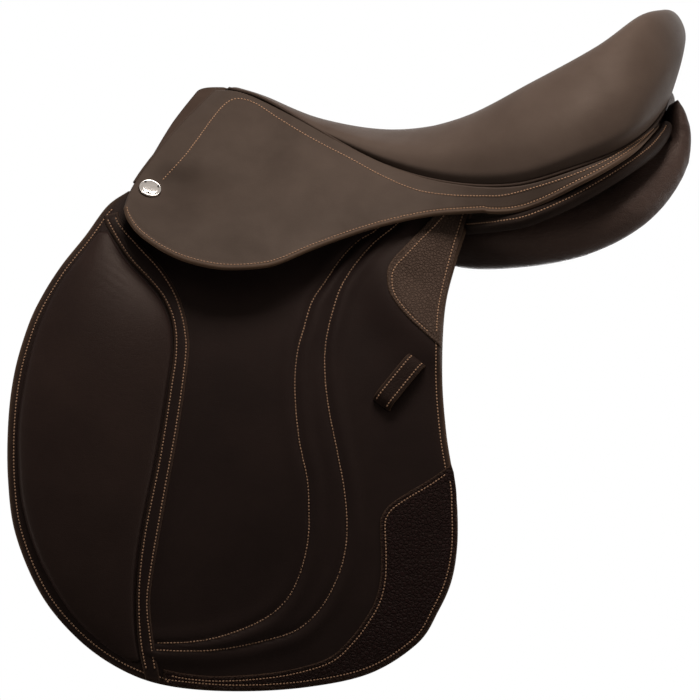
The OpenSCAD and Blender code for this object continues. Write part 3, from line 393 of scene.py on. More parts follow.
def flocked(piece, cap):
    """Swells a cushion as stuffing does: a short cloth run with pressure, each point held to a cap."""
    scene = bpy.context.scene
    skin = piece.modifiers.new("even_skin", "REMESH")
    skin.mode, skin.voxel_size = "VOXEL", FLOCK_VOXEL
    keep_shape(piece)
    count = len(piece.data.vertices)
    before, after = np.empty(3 * count), np.empty(3 * count)
    piece.data.vertices.foreach_get("co", before)
    cloth = piece.modifiers.new("stuffing", "CLOTH")
    cloth.settings.use_pressure, cloth.settings.uniform_pressure_force = True, FLOCK_PRESSURE
    cloth.settings.effector_weights.gravity = 0.0
    for step in range(1, FLOCK_STEPS + 1):
        scene.frame_set(step)
    swollen = settled(piece).to_mesh()
    swollen.vertices.foreach_get("co", after)
    piece.modifiers.clear()
    scene.frame_set(1)
    move = (after - before).reshape(-1, 3)
    far = np.linalg.norm(move, axis=1, keepdims=True)
    move *= cap * np.tanh(far / cap) / np.maximum(far, 1e-9)
    piece.data.vertices.foreach_set("co", before + move.ravel())
    finer = piece.modifiers.new("finer", "SUBSURF")
    finer.levels = 1
    keep_shape(piece)
    piece.data.shade_smooth()


PANEL_SWELL = 3.0
rings = panel_rings(90, 48)
spokes = rings - rings.mean(1, keepdims=True)
slim = rings - unit(spokes) * np.minimum(PANEL_SWELL, 0.3 * np.linalg.norm(spokes, axis=-1, keepdims=True))
caps = [slim[0].mean(0) + (slim[0] - slim[0].mean(0)) * k for k in (0.25, 0.7)]
tails = [slim[-1].mean(0) + (slim[-1] - slim[-1].mean(0)) * k for k in (0.7, 0.25)]
near_panel = loft("near_panel_cushion", np.concatenate([caps, slim, tails]), panel_leather)
flocked(near_panel, PANEL_SWELL * MM)
pair(on_saddle, near_panel, ["near_panel"])

# The panel rolls: a soft leather roll sewn along the top of each panel under the skirt's
# tail, with a row of pale stitches along its face.

thread, thread_shader, thread_tree = finish_of("waxed_thread", rough=0.6, shine=0.3)
twist = noise(thread_tree, own_places(thread_tree), 900.0, 2.0)
colour(thread_tree, thread_shader, twist, (0.155, 0.078, 0.038, 1), (0.30, 0.160, 0.086, 1))
bumped(thread_tree, thread_shader, twist, 0.0001)

STITCH_PITCH, STITCH_LEN, STITCH_R, STITCH_LIFT = 2.7, 1.8, 0.58, 0.12
SECTION = [(math.cos(a), math.sin(a)) for a in np.linspace(0, 2 * math.pi, 6, endpoint=False)]


def lengths(line):
    """Length of a line from its start to each of its points."""
    return np.concatenate([[0], np.cumsum(np.linalg.norm(np.diff(line, axis=0), axis=1))])


def at_lengths(line, length, at):
    """Places on a line at given lengths from its start."""
    return np.stack([np.interp(at, length, line[:, k]) for k in range(line.shape[1])], -1)


def stitches(name, points, normals):
    """A row of small rounded stitches along a line on a surface, as one mesh."""
    both = np.concatenate([points, normals], 1)
    length = lengths(both)
    both = at_lengths(both, length, np.arange(STITCH_PITCH / 2, length[-1], STITCH_PITCH))
    place, up = both[:, :3], unit(both[:, 3:])
    ahead = unit(np.gradient(place, axis=0))
    side = unit(np.cross(up, ahead))
    sections = [(-0.5, 0.35), (-0.32, 0.95), (0.32, 0.95), (0.5, 0.35)]
    shape = [[(l * STITCH_LEN, c * r * STITCH_R, s * r * STITCH_R + STITCH_LIFT) for c, s in SECTION]
             for l, r in sections]
    shape = np.array(shape).reshape(1, -1, 3)
    spots = place[:, None]
    for k, way in enumerate((ahead, side, up)):
        spots = spots + shape[..., k:k + 1] * way[:, None]
    one = closed_faces(4, 6).tolist() + [[5, 4, 3, 2, 1, 0], [18, 19, 20, 21, 22, 23]]
    faces = [[k * 24 + v for v in f] for k in range(len(place)) for f in one]
    return make(name, spots, faces, thread)


def tube_rings(path, radius, sides, side=(0.0, 1.0, 0.3)):
    """Round loops along a path of places, each begun toward a side direction."""
    ahead = unit(np.gradient(path, axis=0))
    u = unit(side - ahead * np.sum(side * ahead, -1, keepdims=True))
    w = np.cross(ahead, u)
    turn = np.linspace(0, 2 * np.pi, sides, endpoint=False)[:, None]
    spokes = u[:, None] * np.cos(turn) + w[:, None] * np.sin(turn)
    return path[:, None] + np.reshape(radius, (-1, 1, 1)) * spokes


def ridge(d, at, wide):
    """A smooth ridge of height 1 at one distance, with a width."""
    return np.exp(-((d - at) / wide) ** 2)


def rounded(d, reach):
    """A quarter round that rises from 0 to 1 over a reach."""
    return np.sqrt(1 - (1 - np.clip(d / reach, 0, 1)) ** 2)


ROLL_R, ROLL_GROOVE, ROLL_END, ROLL_ROWS, ROLL_SIDES = 7.0, 0.9, 6.0, 110, 32
roll_path = seat_place(run([
    [0.535, 0.640, -0.026], [0.5625, 0.760, -0.020], [0.615, 0.880, -0.006], [0.675, 0.945, 0.022],
    [0.766, 0.982, 0.112], [0.860, 0.930, 0.236], [0.921, 0.775, 0.332], [0.952, 0.620, 0.408],
    [0.966, 0.520, 0.468]], ROLL_ROWS))
end_gap = np.minimum(np.arange(ROLL_ROWS), np.arange(ROLL_ROWS)[::-1]) + 0.35
fullness = run([[0.80], [0.92], [1.0], [1.0], [0.95], [0.68]], ROLL_ROWS)[:, 0] * rounded(end_gap, ROLL_END)
roll_leather = leather_finish(
    "roll_leather", (0.0125, 0.0078, 0.0060), (0.0190, 0.0120, 0.0092),
    pebbles=900.0, pebble_depth=0.2, creases=0.4, depth=0.0002)
roll_turn = np.linspace(-np.pi, np.pi, ROLL_SIDES, endpoint=False)
roll_rings = tube_rings(roll_path, fullness * ROLL_R, ROLL_SIDES)
roll_groove = ROLL_GROOVE * ridge(np.roll(roll_turn, ROLL_SIDES // 2), 0, wide=0.2)
roll_rings -= unit(roll_rings - roll_path[:, None]) * roll_groove[None, :, None] * fullness[:, None, None]
near_roll = loft("near_panel_roll_cover", roll_rings, roll_leather)
pair(on_saddle, near_roll, ["near_panel_roll"])
roll_face = unit(roll_rings[:, 0] - roll_path)
near_roll_stitch = stitches("near_roll_stitching", roll_rings[6:-6, 0], roll_face[6:-6])
pair(on_saddle, near_roll_stitch, [])

# The sweat flaps: single sheets of grained leather under the flaps, next to the horse.
# Each carries a knee block and a thigh block, and the pocket of the tree point.

BEND_R, FOLD_Y, FOLD_Z, LEAN = 940.0, 123.37, -47.0, math.radians(22.2)
BEND_Y, BEND_Z = FOLD_Y - BEND_R * math.cos(LEAN), FOLD_Z - BEND_R * math.sin(LEAN)


def bent(xz, rise):
    """Places in side view laid on the flap's bend, at a rise over the flap's face."""
    xz = np.asarray(xz, float)
    lean = np.arcsin((xz[..., 1] - BEND_Z) / BEND_R)
    r = BEND_R + rise
    return np.stack([xz[..., 0], BEND_Y + r * np.cos(lean), BEND_Z + r * np.sin(lean)], -1)


SIDE_X, SIDE_Z, SIDE_STEP = 395, 222, 0.8


def seen(points):
    """Places in side view, in millimetres, from points in 0.8 mm steps of the side view."""
    p = np.asarray(points, float)
    return np.stack([(SIDE_X - p[..., 0]) * SIDE_STEP, (SIDE_Z - p[..., 1]) * SIDE_STEP], -1)


def resampled(line, shares):
    """Places at shares of a line's length."""
    length = lengths(line)
    return at_lengths(line, length, np.asarray(shares) * length[-1])


def dense_ends(count, length, rim):
    """Shares from 0 to 1 that lie close together near both ends, for a rounded rim."""
    close = np.array([0, 0.06, 0.25, 0.55, 1.0, 1.8]) * rim / length
    return np.concatenate([close, np.linspace(close[-1], 1 - close[-1], count)[1:-1], 1 - close[::-1]])


def four_sided(top, bottom, front, rear, u, v):
    """A smooth net between four edges; top and bottom run front to rear, the others downward."""
    t, b, f, r = resampled(top, u), resampled(bottom, u), resampled(front, v), resampled(rear, v)
    u, v = u[None, :, None], v[:, None, None]
    corners = (1 - v) * ((1 - u) * t[0] + u * t[-1]) + v * ((1 - u) * b[0] + u * b[-1])
    return (1 - v) * t[None] + v * b[None] + (1 - u) * f[:, None] + u * r[:, None] - corners


def rim_distance(net):
    """Distance of each point of a net from the nearest of its four edges, along the net."""
    nearest = []
    for axis in (0, 1):
        far = np.cumsum(np.linalg.norm(np.diff(net, axis=axis), axis=-1), axis)
        far = np.concatenate([0 * far.take([0], axis), far], axis)
        nearest.append(np.minimum(far, far.take([-1], axis) - far))
    return np.minimum(*nearest)


def net_faces(rows, cols):
    """Faces of an open net of places."""
    r, c = np.meshgrid(np.arange(rows - 1), np.arange(cols - 1), indexing="ij")
    a = r * cols + c
    return np.stack([a, a + 1, a + cols + 1, a + cols], -1).reshape(-1, 4)


def shell(name, upper, lower, material, edge=None):
    """A closed skin between an upper and a lower net that share their rim."""
    rows, cols = upper.shape[:2]
    n = rows * cols
    index = np.arange(n).reshape(rows, cols)
    under = np.full((rows, cols), -1)
    under[1:-1, 1:-1] = n + np.arange((rows - 2) * (cols - 2)).reshape(rows - 2, cols - 2)
    under = np.where(under < 0, index, under)
    a, b, c, d = under[:-1, :-1], under[:-1, 1:], under[1:, 1:], under[1:, :-1]
    bottom = np.stack([a, d, c, b], -1).reshape(-1, 4)
    places = np.concatenate([upper.reshape(-1, 3), lower[1:-1, 1:-1].reshape(-1, 3)])
    if edge is not None:
        edge = np.concatenate([edge.ravel(), edge[1:-1, 1:-1].ravel()])
    return make(name, places, np.concatenate([net_faces(rows, cols), bottom]), material, edge)


def round_rim(d, thick):
    """Half thickness of a sheet at a distance from its rounded rim."""
    return thick / 2 * rounded(d, thick / 2)


def worn_edge(d, reach, most=1.0):
    """How far a piece is rubbed, at distances from its edge."""
    return most * np.exp(-d / reach)


def split_outline(points, corners, steps=24):
    """Smooth runs between the corner points of an outline, in order."""
    line = run(points, steps * (len(points) - 1) + 1)
    at = [steps * c for c in corners]
    return [line[a:b + 1] for a, b in zip(at[:-1], at[1:])]


FLAP_T, SWEAT_T, GIRTH_GAP = 4.5, 3.0, 15.5
SWEAT_MID = -FLAP_T - GIRTH_GAP - SWEAT_T / 2
sweat_outline = seen([
    (142.7, 241), (112.2, 265), (84.8, 300), (68.2, 350), (60.1, 400), (57.8, 450), (61.9, 500),
    (74.9, 545), (100, 590), (140, 625), (189.8, 645), (250, 652), (310.2, 646), (360, 630), (400, 600),
    (420.2, 560), (427.8, 510), (427.8, 450), (422, 390), (417.9, 330), (418.8, 285), (418.8, 255),
    (412.1, 235)])
sweat_front, sweat_low, sweat_rear = split_outline(sweat_outline, [0, 9, 14, 22])
sweat_leather = leather_finish(
    "sweat_leather", (0.014, 0.009, 0.007), (0.028, 0.017, 0.012),
    pebbles=800.0, pebble_depth=0.6, creases=0.4, depth=0.0004, rough=(0.45, 0.6))
sweat_top = np.stack([sweat_front[0], sweat_rear[-1]])
sweat_net = four_sided(sweat_top, sweat_low, sweat_front, sweat_rear[::-1],
                       dense_ends(60, length=280, rim=2), dense_ends(70, length=330, rim=2))
sweat_rim = rim_distance(sweat_net)
half = round_rim(sweat_rim, SWEAT_T)
near_sweat = shell("near_sweat_flap_leather", bent(sweat_net, SWEAT_MID + half),
                   bent(sweat_net, SWEAT_MID - half), sweat_leather, worn_edge(sweat_rim, reach=1.6))
pair(on_saddle, near_sweat, ["near_sweat_flap"])


def ruled(first, second, rows, cols):
    """A net between two lines that run the same way."""
    a, b = resampled(first, rows), resampled(second, rows)
    return a[:, None] + (b - a)[:, None] * np.asarray(cols)[None, :, None]


BLOCK_T, BLOCK_ROUND = 13.0, 7.0
block_leather = leather_finish(
    "block_leather", (0.016, 0.010, 0.008), (0.030, 0.018, 0.013),
    pebbles=900.0, pebble_depth=0.4, creases=0.5, depth=0.0003)


def block(name, front, rear, node):
    """A foam block covered in leather, crowned and closed round its edge."""
    net = ruled(run(seen(front), 90), run(seen(rear), 90),
                dense_ends(60, length=200, rim=6), dense_ends(20, length=40, rim=6))
    rise = BLOCK_T * rounded(rim_distance(net), BLOCK_ROUND)
    low = SWEAT_MID + SWEAT_T / 2 + 0.1
    made = shell(name, bent(net, low + rise), bent(net, low), block_leather)
    pair(on_saddle, made, [node])


block("near_knee_block_cover",
      [(129, 323), (115.8, 328), (96.9, 348), (82.1, 390), (79.8, 450), (87.9, 510), (104.1, 560)],
      [(137, 327), (146.3, 338), (140.9, 362), (131.9, 390), (127.9, 440), (130.1, 500), (125.2, 560)],
      "near_knee_block")
block("near_thigh_block_cover",
      [(391.9, 300), (385.2, 330), (391.9, 390), (398.2, 440), (408, 462)],
      [(396, 298), (412.1, 330), (416.1, 390), (417.9, 440), (416, 464)], "near_thigh_block")
dress(["near_point_pocket", "off_point_pocket"], sweat_leather)

# The girth billets: doubled leather straps that hang from the webs under each flap, with
# a row of punched holes. Their solids have the right shape and take a strap finish.

strap_leather = leather_finish(
    "strap_leather", (0.0095, 0.0052, 0.0040), (0.0155, 0.0085, 0.0065),
    pebbles=1200.0, pebble_depth=0.25, creases=0.6, depth=0.0003, worn=(0.11, 0.062, 0.035))
billets = [f"{side}_{which}_billet" for side in ("near", "off") for which in ("front", "rear")]
dress(billets, strap_leather)
for billet in billets:
    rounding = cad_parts[billet].modifiers.new("rounding", "BEVEL")
    rounding.width, rounding.segments, rounding.limit_method = 0.0006, 2, "ANGLE"

# The flaps: thick bridle leather cut to the saddle's outline and moulded to the horse. A real
# flap bends along a flex line below the skirt; here each is one sheet in a single shape.


def bending():
    """A hold that bakes a piece's place into its mesh; it does not bend the piece."""
    def hold(made, side, sign):
        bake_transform(made)
    return hold


on_flap = bending()


def line_distance(net, line):
    """Distance of each point of a net from a line, and its side: over 0 to the line's left."""
    p = net.reshape(-1, 1, 2)
    a, b = line[None, :-1], line[None, 1:]
    d = b - a
    k = np.clip(np.sum((p - a) * d, -1) / np.maximum(np.sum(d * d, -1), 1e-9), 0, 1)
    gap = p - (a + d * k[..., None])
    far = np.linalg.norm(gap, axis=-1)
    near = np.argmin(far, 1)
    pick = np.arange(len(p))
    cross = d[0, near, 0] * gap[pick, near, 1] - d[0, near, 1] * gap[pick, near, 0]
    return far[pick, near].reshape(net.shape[:2]), np.sign(cross).reshape(net.shape[:2])


flap_outline = seen([
    (127.9, 190), (106.8, 205), (84.8, 235), (61, 265), (42.1, 295), (28.2, 325), (15.2, 370), (8.9, 420),
    (8.9, 480), (17, 535), (43, 595), (81.2, 640), (125.2, 670), (171, 685), (235.2, 690), (306.1, 686),
    (370.3, 672), (417.5, 642), (438.1, 610), (451.2, 580), (457, 545), (457, 505), (453, 475),
    (446.2, 432), (442.2, 375), (444.9, 310), (455.2, 265), (470.9, 215), (474.1, 190)])
flap_front, flap_low, flap_rear = split_outline(flap_outline, [0, 11, 17, 28])
flap_rear = flap_rear[::-1]
flap_top = np.stack([flap_front[0], flap_rear[0]])
flap_leather = leather_finish(
    "flap_leather", (0.0090, 0.0052, 0.0044), (0.0138, 0.0080, 0.0066),
    pebbles=1100.0, pebble_depth=0.12, creases=0.10, depth=0.0002, rough=(0.33, 0.43), shine=0.04)
flap_net = four_sided(flap_top, flap_low, flap_front, flap_rear,
                      dense_ends(150, length=360, rim=FLAP_T / 2),
                      dense_ends(170, length=400, rim=FLAP_T / 2))

thigh_lines = [run(seen(line), 160) for line in (
    [(390, 214), (376, 230), (357, 242), (340, 260), (325, 282), (312, 302), (304, 328), (298, 350),
     (295, 379), (296, 410), (300, 444), (307, 477), (309, 506), (308, 540), (300, 573), (286, 600),
     (261, 620), (223, 635), (190, 641), (156, 642)],
    [(408, 210), (396, 225), (375, 242), (357, 262), (342, 285), (334, 307), (326, 341), (325, 375),
     (329, 410), (337, 450), (344, 488), (347, 522), (345, 551), (337, 578), (321, 607), (297, 629),
     (263, 640), (223, 648), (190, 650), (157, 649)])]
CHANNEL_SWELL, CHANNEL_AT, CHANNEL_REACH, CHANNEL_REAR = 1.7, 7.0, 5.5, 0.45
CHANNEL_CUT, CHANNEL_CUT_W = 1.3, 1.5
flap_rise = np.zeros(flap_net.shape[:2])
for line in thigh_lines:
    away, side = line_distance(flap_net, line)
    swell = CHANNEL_SWELL * ridge(away, CHANNEL_AT, CHANNEL_REACH) * np.where(side < 0, 1.0, CHANNEL_REAR)
    flap_rise += swell - CHANNEL_CUT * ridge(away, 0, CHANNEL_CUT_W)
THIGH_SWELL, SWELL_REACH = 5.5, 20.0
thigh_front = run(seen([(446, 206), (433, 220), (407, 247), (390, 266), (387, 283), (392, 300), (410, 322),
                        (438, 347)]), 160)


def thigh_swell(net):
    """How far the flap swells out along the front edge of its thigh patch."""
    return THIGH_SWELL * ridge(line_distance(net, thigh_front)[0], 0, SWELL_REACH)


flap_rise += thigh_swell(flap_net)
rim = rim_distance(flap_net)
RIM_SEAM, RIM_DIP, RIM_REACH = 5.2, 0.5, 3.0
flap_rise -= RIM_DIP * ridge(rim, RIM_SEAM, wide=1.1)
half = round_rim(rim, FLAP_T)
flap_rise *= np.clip(rim / RIM_REACH, 0, 1)
near_flap = shell("near_flap_leather", bent(flap_net, -FLAP_T / 2 + half + flap_rise),
                  bent(flap_net, -FLAP_T / 2 - half), flap_leather, worn_edge(rim, reach=1.8))
pair(on_flap, near_flap, ["near_flap", "near_flap_top"])


def surface_of(piece):
    """A search tree of a piece's faces, in millimetres."""
    mesh = piece.data
    faces = [tuple(p.vertices) for p in mesh.polygons]
    return BVHTree.FromPolygons([v.co / MM for v in mesh.vertices], faces)


def laid(tree, line):
    """Places and normals where a line in side view meets a surface from the near side."""
    hits = [tree.ray_cast(Vector((x, 400.0, z)), Vector((0, -1, 0))) for x, z in line]
    hits = [(h[0], h[1] if h[1].y > 0 else -h[1]) for h in hits if h[0] is not None]
    return np.array([list(h[0]) for h in hits]), np.array([list(h[1]) for h in hits])


def inside(line, gap):
    """A line moved sideways by a gap, to its right with the front of the saddle on the right."""
    ahead = unit(np.gradient(line, axis=0))
    return line + gap * np.stack([ahead[:, 1], -ahead[:, 0]], -1)


def sew_on_flap(name, tree, line):
    """A row of stitches along a line in side view on a piece of the flap."""
    pair(on_flap, stitches(name, *laid(tree, line)), [])


flap_surface = surface_of(near_flap)
sew_on_flap("near_flap_rim_stitching", flap_surface, inside(run(flap_outline, 700), RIM_SEAM)[24:-24])
for k, line in enumerate(thigh_lines):
    sew_on_flap(f"near_thigh_stitching_{k}", flap_surface, run(line, 500))

# The knee pads: soft leather over shaped foam, sewn down at the flap's front and tucked into
# a groove at the back. They are fullest at the knee and run out flat at both ends.

PAD_T, PAD_EDGE, PAD_ROWS = 12.0, 1.0, 130
PAD_CROWN = [0.04, 0.58, 0.92, 1.0, 0.95, 0.87, 0.77, 0.62, 0.40, 0.04]
PLEAT, PLEAT_LONG, PLEAT_HIGH = 0.17, 16.0, 26.0
pad_front = run(seen([
    (100, 230), (79, 257), (61, 281), (46.5, 308), (32, 348), (20.5, 408), (18.5, 452), (23.5, 506),
    (41, 560), (72, 612), (104, 643), (134, 663)]), 300)
pad_back = run(seen([
    (104, 225), (125.2, 259), (147.2, 283), (161.1, 301), (170.1, 324), (171.9, 350), (167.8, 383),
    (156.2, 457), (140.9, 535), (135.1, 590), (136.9, 640), (144.9, 676)]), 300)


def level_share(line, z):
    """Places of a line at given heights, for a line that only goes down."""
    order = np.argsort(line[:, 1])
    return np.stack([np.interp(z, line[order, 1], line[order, 0]), z], -1)


pad_levels = np.linspace(seen((0, 231))[1], seen((0, 662))[1], PAD_ROWS)
pad_cols = dense_ends(44, length=110, rim=3)
pad_a, pad_b = level_share(pad_front, pad_levels), level_share(pad_back, pad_levels)
pad_net = pad_a[:, None] + (pad_b - pad_a)[:, None] * pad_cols[None, :, None]
crown = run([[c] for c in PAD_CROWN], PAD_ROWS)
pad_full = np.linspace(0.72, 0.48, PAD_ROWS)[:, None]
pad_rise = PAD_EDGE + PAD_T * crown * np.sin(np.pi * pad_cols[None, :] ** 0.92) ** pad_full
pad_x, pad_z = pad_net[..., 0], pad_net[..., 1]
pleat_x, pleat_z = seen((118, 275))
pleat = PLEAT * ridge(pad_x, pleat_x, PLEAT_LONG) * ridge(pad_z, pleat_z, PLEAT_HIGH)
pad_rise += pleat * np.sin(pad_z * 1.3 + 0.5 * pad_x) * np.sin(pad_z * 0.31 + 1)
pad_rise *= np.clip(rim_distance(pad_net) / 1.5, 0, 1) ** 0.5
pad_leather = leather_finish(
    "pad_leather", (0.0135, 0.0077, 0.0062), (0.0200, 0.0114, 0.0091),
    pebbles=1100.0, pebble_depth=0.12, creases=0.14, depth=0.0002, rough=(0.33, 0.43), shine=0.04)
near_pad = shell("near_knee_pad_cover", bent(pad_net, pad_rise - 0.1), bent(pad_net, -0.2), pad_leather)
pair(on_flap, near_pad, ["near_knee_pad", "knee_pad_tips"])

# The knee strips: narrow strips of leather that close the pad's groove, sewn down along both
# of their edges from the skirt to the flap's lower edge.

STRIP_T, STRIP_SEAM, STRIP_DIP = 2.2, 2.6, 0.35
strip_back = run(seen([
    (118, 212), (121.1, 222), (139.1, 243), (160.2, 266), (175, 288), (183.1, 308), (188, 330),
    (188.9, 357), (180, 424), (166, 502), (153.9, 573), (150.8, 605), (154.8, 642), (161.1, 681)]), 300)
strip_front = run(seen([
    (104, 216), (107, 226), (126.7, 258), (148.7, 282), (162.6, 300), (171.6, 323), (173.4, 350),
    (169.3, 383), (157.7, 457), (142.4, 535), (136.6, 590), (138.4, 640), (146.4, 679)]), 300)
strip_net = ruled(strip_front, strip_back,
                  dense_ends(160, length=420, rim=1.5), dense_ends(10, length=13, rim=1.2))
strip_rim = rim_distance(strip_net)
strip_rise = STRIP_T * rounded(strip_rim, reach=1.6) - STRIP_DIP * ridge(strip_rim, STRIP_SEAM, wide=0.8)
near_strip = shell("near_knee_strip_leather", bent(strip_net, strip_rise), bent(strip_net, -0.3),
                   flap_leather, worn_edge(strip_rim, reach=1.0, most=0.5))
pair(on_flap, near_strip, ["near_knee_strip", "knee_strip_tops"])
strip_surface = surface_of(near_strip)
sew_on_flap("near_strip_front_stitching", strip_surface, inside(strip_front, STRIP_SEAM)[12:-8])
sew_on_flap("near_strip_back_stitching", strip_surface, inside(strip_back, -STRIP_SEAM)[12:-8])

# The grained patches: a small one of printed leather at the back of the thigh and a large one
# of coarse grain for the calf, both laid on the flap and sewn down.

PATCH_T, PATCH_SUNK, PATCH_SEAM, PATCH_DIP = 1.4, 0.3, 4.0, 0.45


def rim_of_flap(net):
    """Distance of each point of a net from the flap's front and rear edges."""
    return np.minimum(line_distance(net, flap_front)[0], line_distance(net, flap_rear)[0])


thigh_leather = leather_finish(
    "thigh_patch_leather", (0.042, 0.0258, 0.0185), (0.0645, 0.0400, 0.0285),
    pebbles=420.0, pebble_depth=0.75, creases=0.2, depth=0.0005, rough=(0.42, 0.58))
thigh_rear = run(seen([(471.5, 206), (466, 221), (453, 265), (443, 310), (441, 349)]), 160)
thigh_net = ruled(thigh_front, thigh_rear,
                  dense_ends(80, length=120, rim=1.2), dense_ends(40, length=40, rim=1.2))


def patch(name, net, material, nodes):
    """A thin patch laid on the flap, with a rounded rim and the dip of its stitching."""
    d = rim_distance(net)
    under = thigh_swell(net) * np.clip(rim_of_flap(net) / RIM_REACH, 0, 1)
    rise = PATCH_T * rounded(d, reach=1.3) - PATCH_DIP * ridge(d, PATCH_SEAM, wide=0.9)
    made = shell(name, bent(net, under + rise), bent(net, under - PATCH_SUNK), material,
                 worn_edge(d, reach=1.0, most=0.6))
    pair(on_flap, made, nodes)
    return surface_of(made)


thigh_surface = patch("near_thigh_patch_leather", thigh_net, thigh_leather,
                      ["near_thigh_patch", "thigh_patch_tops"])
sew_on_flap("near_thigh_patch_stitching", thigh_surface, inside(thigh_front, PATCH_SEAM)[6:-10])
sew_on_flap("near_thigh_rear_stitching", thigh_surface, inside(thigh_rear, -PATCH_SEAM)[20:-16])
calf_leather = leather_finish(
    "calf_patch_leather", (0.0085, 0.0037, 0.0032), (0.0140, 0.0062, 0.0055),
    pebbles=330.0, pebble_depth=1.0, creases=0.1, depth=0.0007, rough=(0.4, 0.6))
calf_inner = run(seen([
    (451, 464), (428, 480), (406, 493), (390, 504), (383, 513), (380, 524), (381, 557), (380, 580),
    (375, 600), (365, 618), (350, 638), (330, 656), (301, 666), (268, 672), (223, 675), (190, 673),
    (164, 668)]), 260)
calf_outer = run(seen([
    (453.5, 472), (456, 490), (456.5, 505), (456.5, 545), (450.5, 579), (437.5, 609), (417, 641),
    (370, 671), (306, 685), (235, 689), (171, 684), (164, 681)]), 260)
calf_net = ruled(calf_inner, calf_outer,
                 dense_ends(160, length=420, rim=1.2), dense_ends(40, length=40, rim=1.2))
calf_surface = patch("near_calf_patch_leather", calf_net, calf_leather, ["near_calf_patch"])
sew_on_flap("near_calf_inner_stitching", calf_surface, inside(calf_inner, PATCH_SEAM)[6:-6])
sew_on_flap("near_calf_outer_stitching", calf_surface, inside(calf_outer, -PATCH_SEAM)[10:-6])

# The keepers: short leather loops sewn to the flaps behind the leg, which take the loose end of
# a stirrup leather. Each is a folded strap with a flat top and two rows of stitches.

KEEPER_LEN, KEEPER_W, KEEPER_GAP, KEEPER_T, KEEPER_TURN = 48.0, 17.0, 6.0, 2.4, math.radians(52)
FLAP_FRONT, FLAP_TOP, FLAP_W, FLAP_H = 310.0, 25.6, 359.0, 400.0
keeper_at = np.array([FLAP_FRONT - 0.873 * FLAP_W, FLAP_TOP - 0.386 * FLAP_H])
keeper_lean = math.asin((keeper_at[1] - BEND_Z) / BEND_R)
keeper_out = np.array([0, math.cos(keeper_lean), math.sin(keeper_lean)])
keeper_down = np.array([0, math.sin(keeper_lean), -math.cos(keeper_lean)])
keeper_long = math.cos(KEEPER_TURN) * np.array([1.0, 0, 0]) + math.sin(KEEPER_TURN) * keeper_down
keeper_wide = np.cross(keeper_out, keeper_long)
keeper_origin = bent(keeper_at, 0.2)
half_len, rise = KEEPER_LEN / 2, KEEPER_GAP + KEEPER_T / 2
first_half = np.array([(1.8 - half_len, -0.8), (1.5 - half_len, 2.4), (3.2 - half_len, rise - 1.8),
                       (7.5 - half_len, rise), (-6.0, rise + 0.5)])
keeper_path = run(np.concatenate([first_half, first_half[::-1] * (-1, 1)]), 90)
keeper_ahead = unit(np.gradient(keeper_path, axis=0))
keeper_cols = (dense_ends(12, length=KEEPER_W, rim=KEEPER_T / 2) - 0.5) * KEEPER_W
keeper_rim = rim_distance(np.stack(np.meshgrid(lengths(keeper_path), keeper_cols, indexing="ij"), -1))


def keeper_net(sign):
    """The upper or lower face of the strap, carried from its path to the flap."""
    h = sign * round_rim(keeper_rim, KEEPER_T) + 0.35 * np.cos(np.pi * keeper_cols / KEEPER_W)[None, :]
    l = keeper_path[:, None, 0] - keeper_ahead[:, None, 1] * h
    o = keeper_path[:, None, 1] + keeper_ahead[:, None, 0] * h
    face = keeper_origin + l[..., None] * keeper_long + o[..., None] * keeper_out
    return face + keeper_cols[None, :, None] * keeper_wide


keeper_upper, keeper_lower = keeper_net(1), keeper_net(-1)
near_keeper = shell("near_keeper_loop", keeper_upper[:, ::-1], keeper_lower[:, ::-1], strap_leather,
                    worn_edge(keeper_rim[:, ::-1], reach=0.7, most=0.4))


def with_flap(made, side, sign):
    """Fixes a piece to the moving part of its flap."""
    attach(made, f"{side}_flap_body")


pair(with_flap, near_keeper, ["near_keeper"])
for k, share in enumerate((0.30, 0.70)):
    col = int(round(share * (len(keeper_cols) - 1)))
    row = keeper_upper[16:-16, col]
    row_stitching = stitches(f"near_keeper_stitching_{k}", row, np.tile(keeper_out, (len(row), 1)))
    pair(with_flap, row_stitching, [])

# The seat: one blocked piece of soft calf leather drawn over foam on the strained webs, wet
# moulded to the tree's dip, and sewn at its edge to the skirts with a piping between.

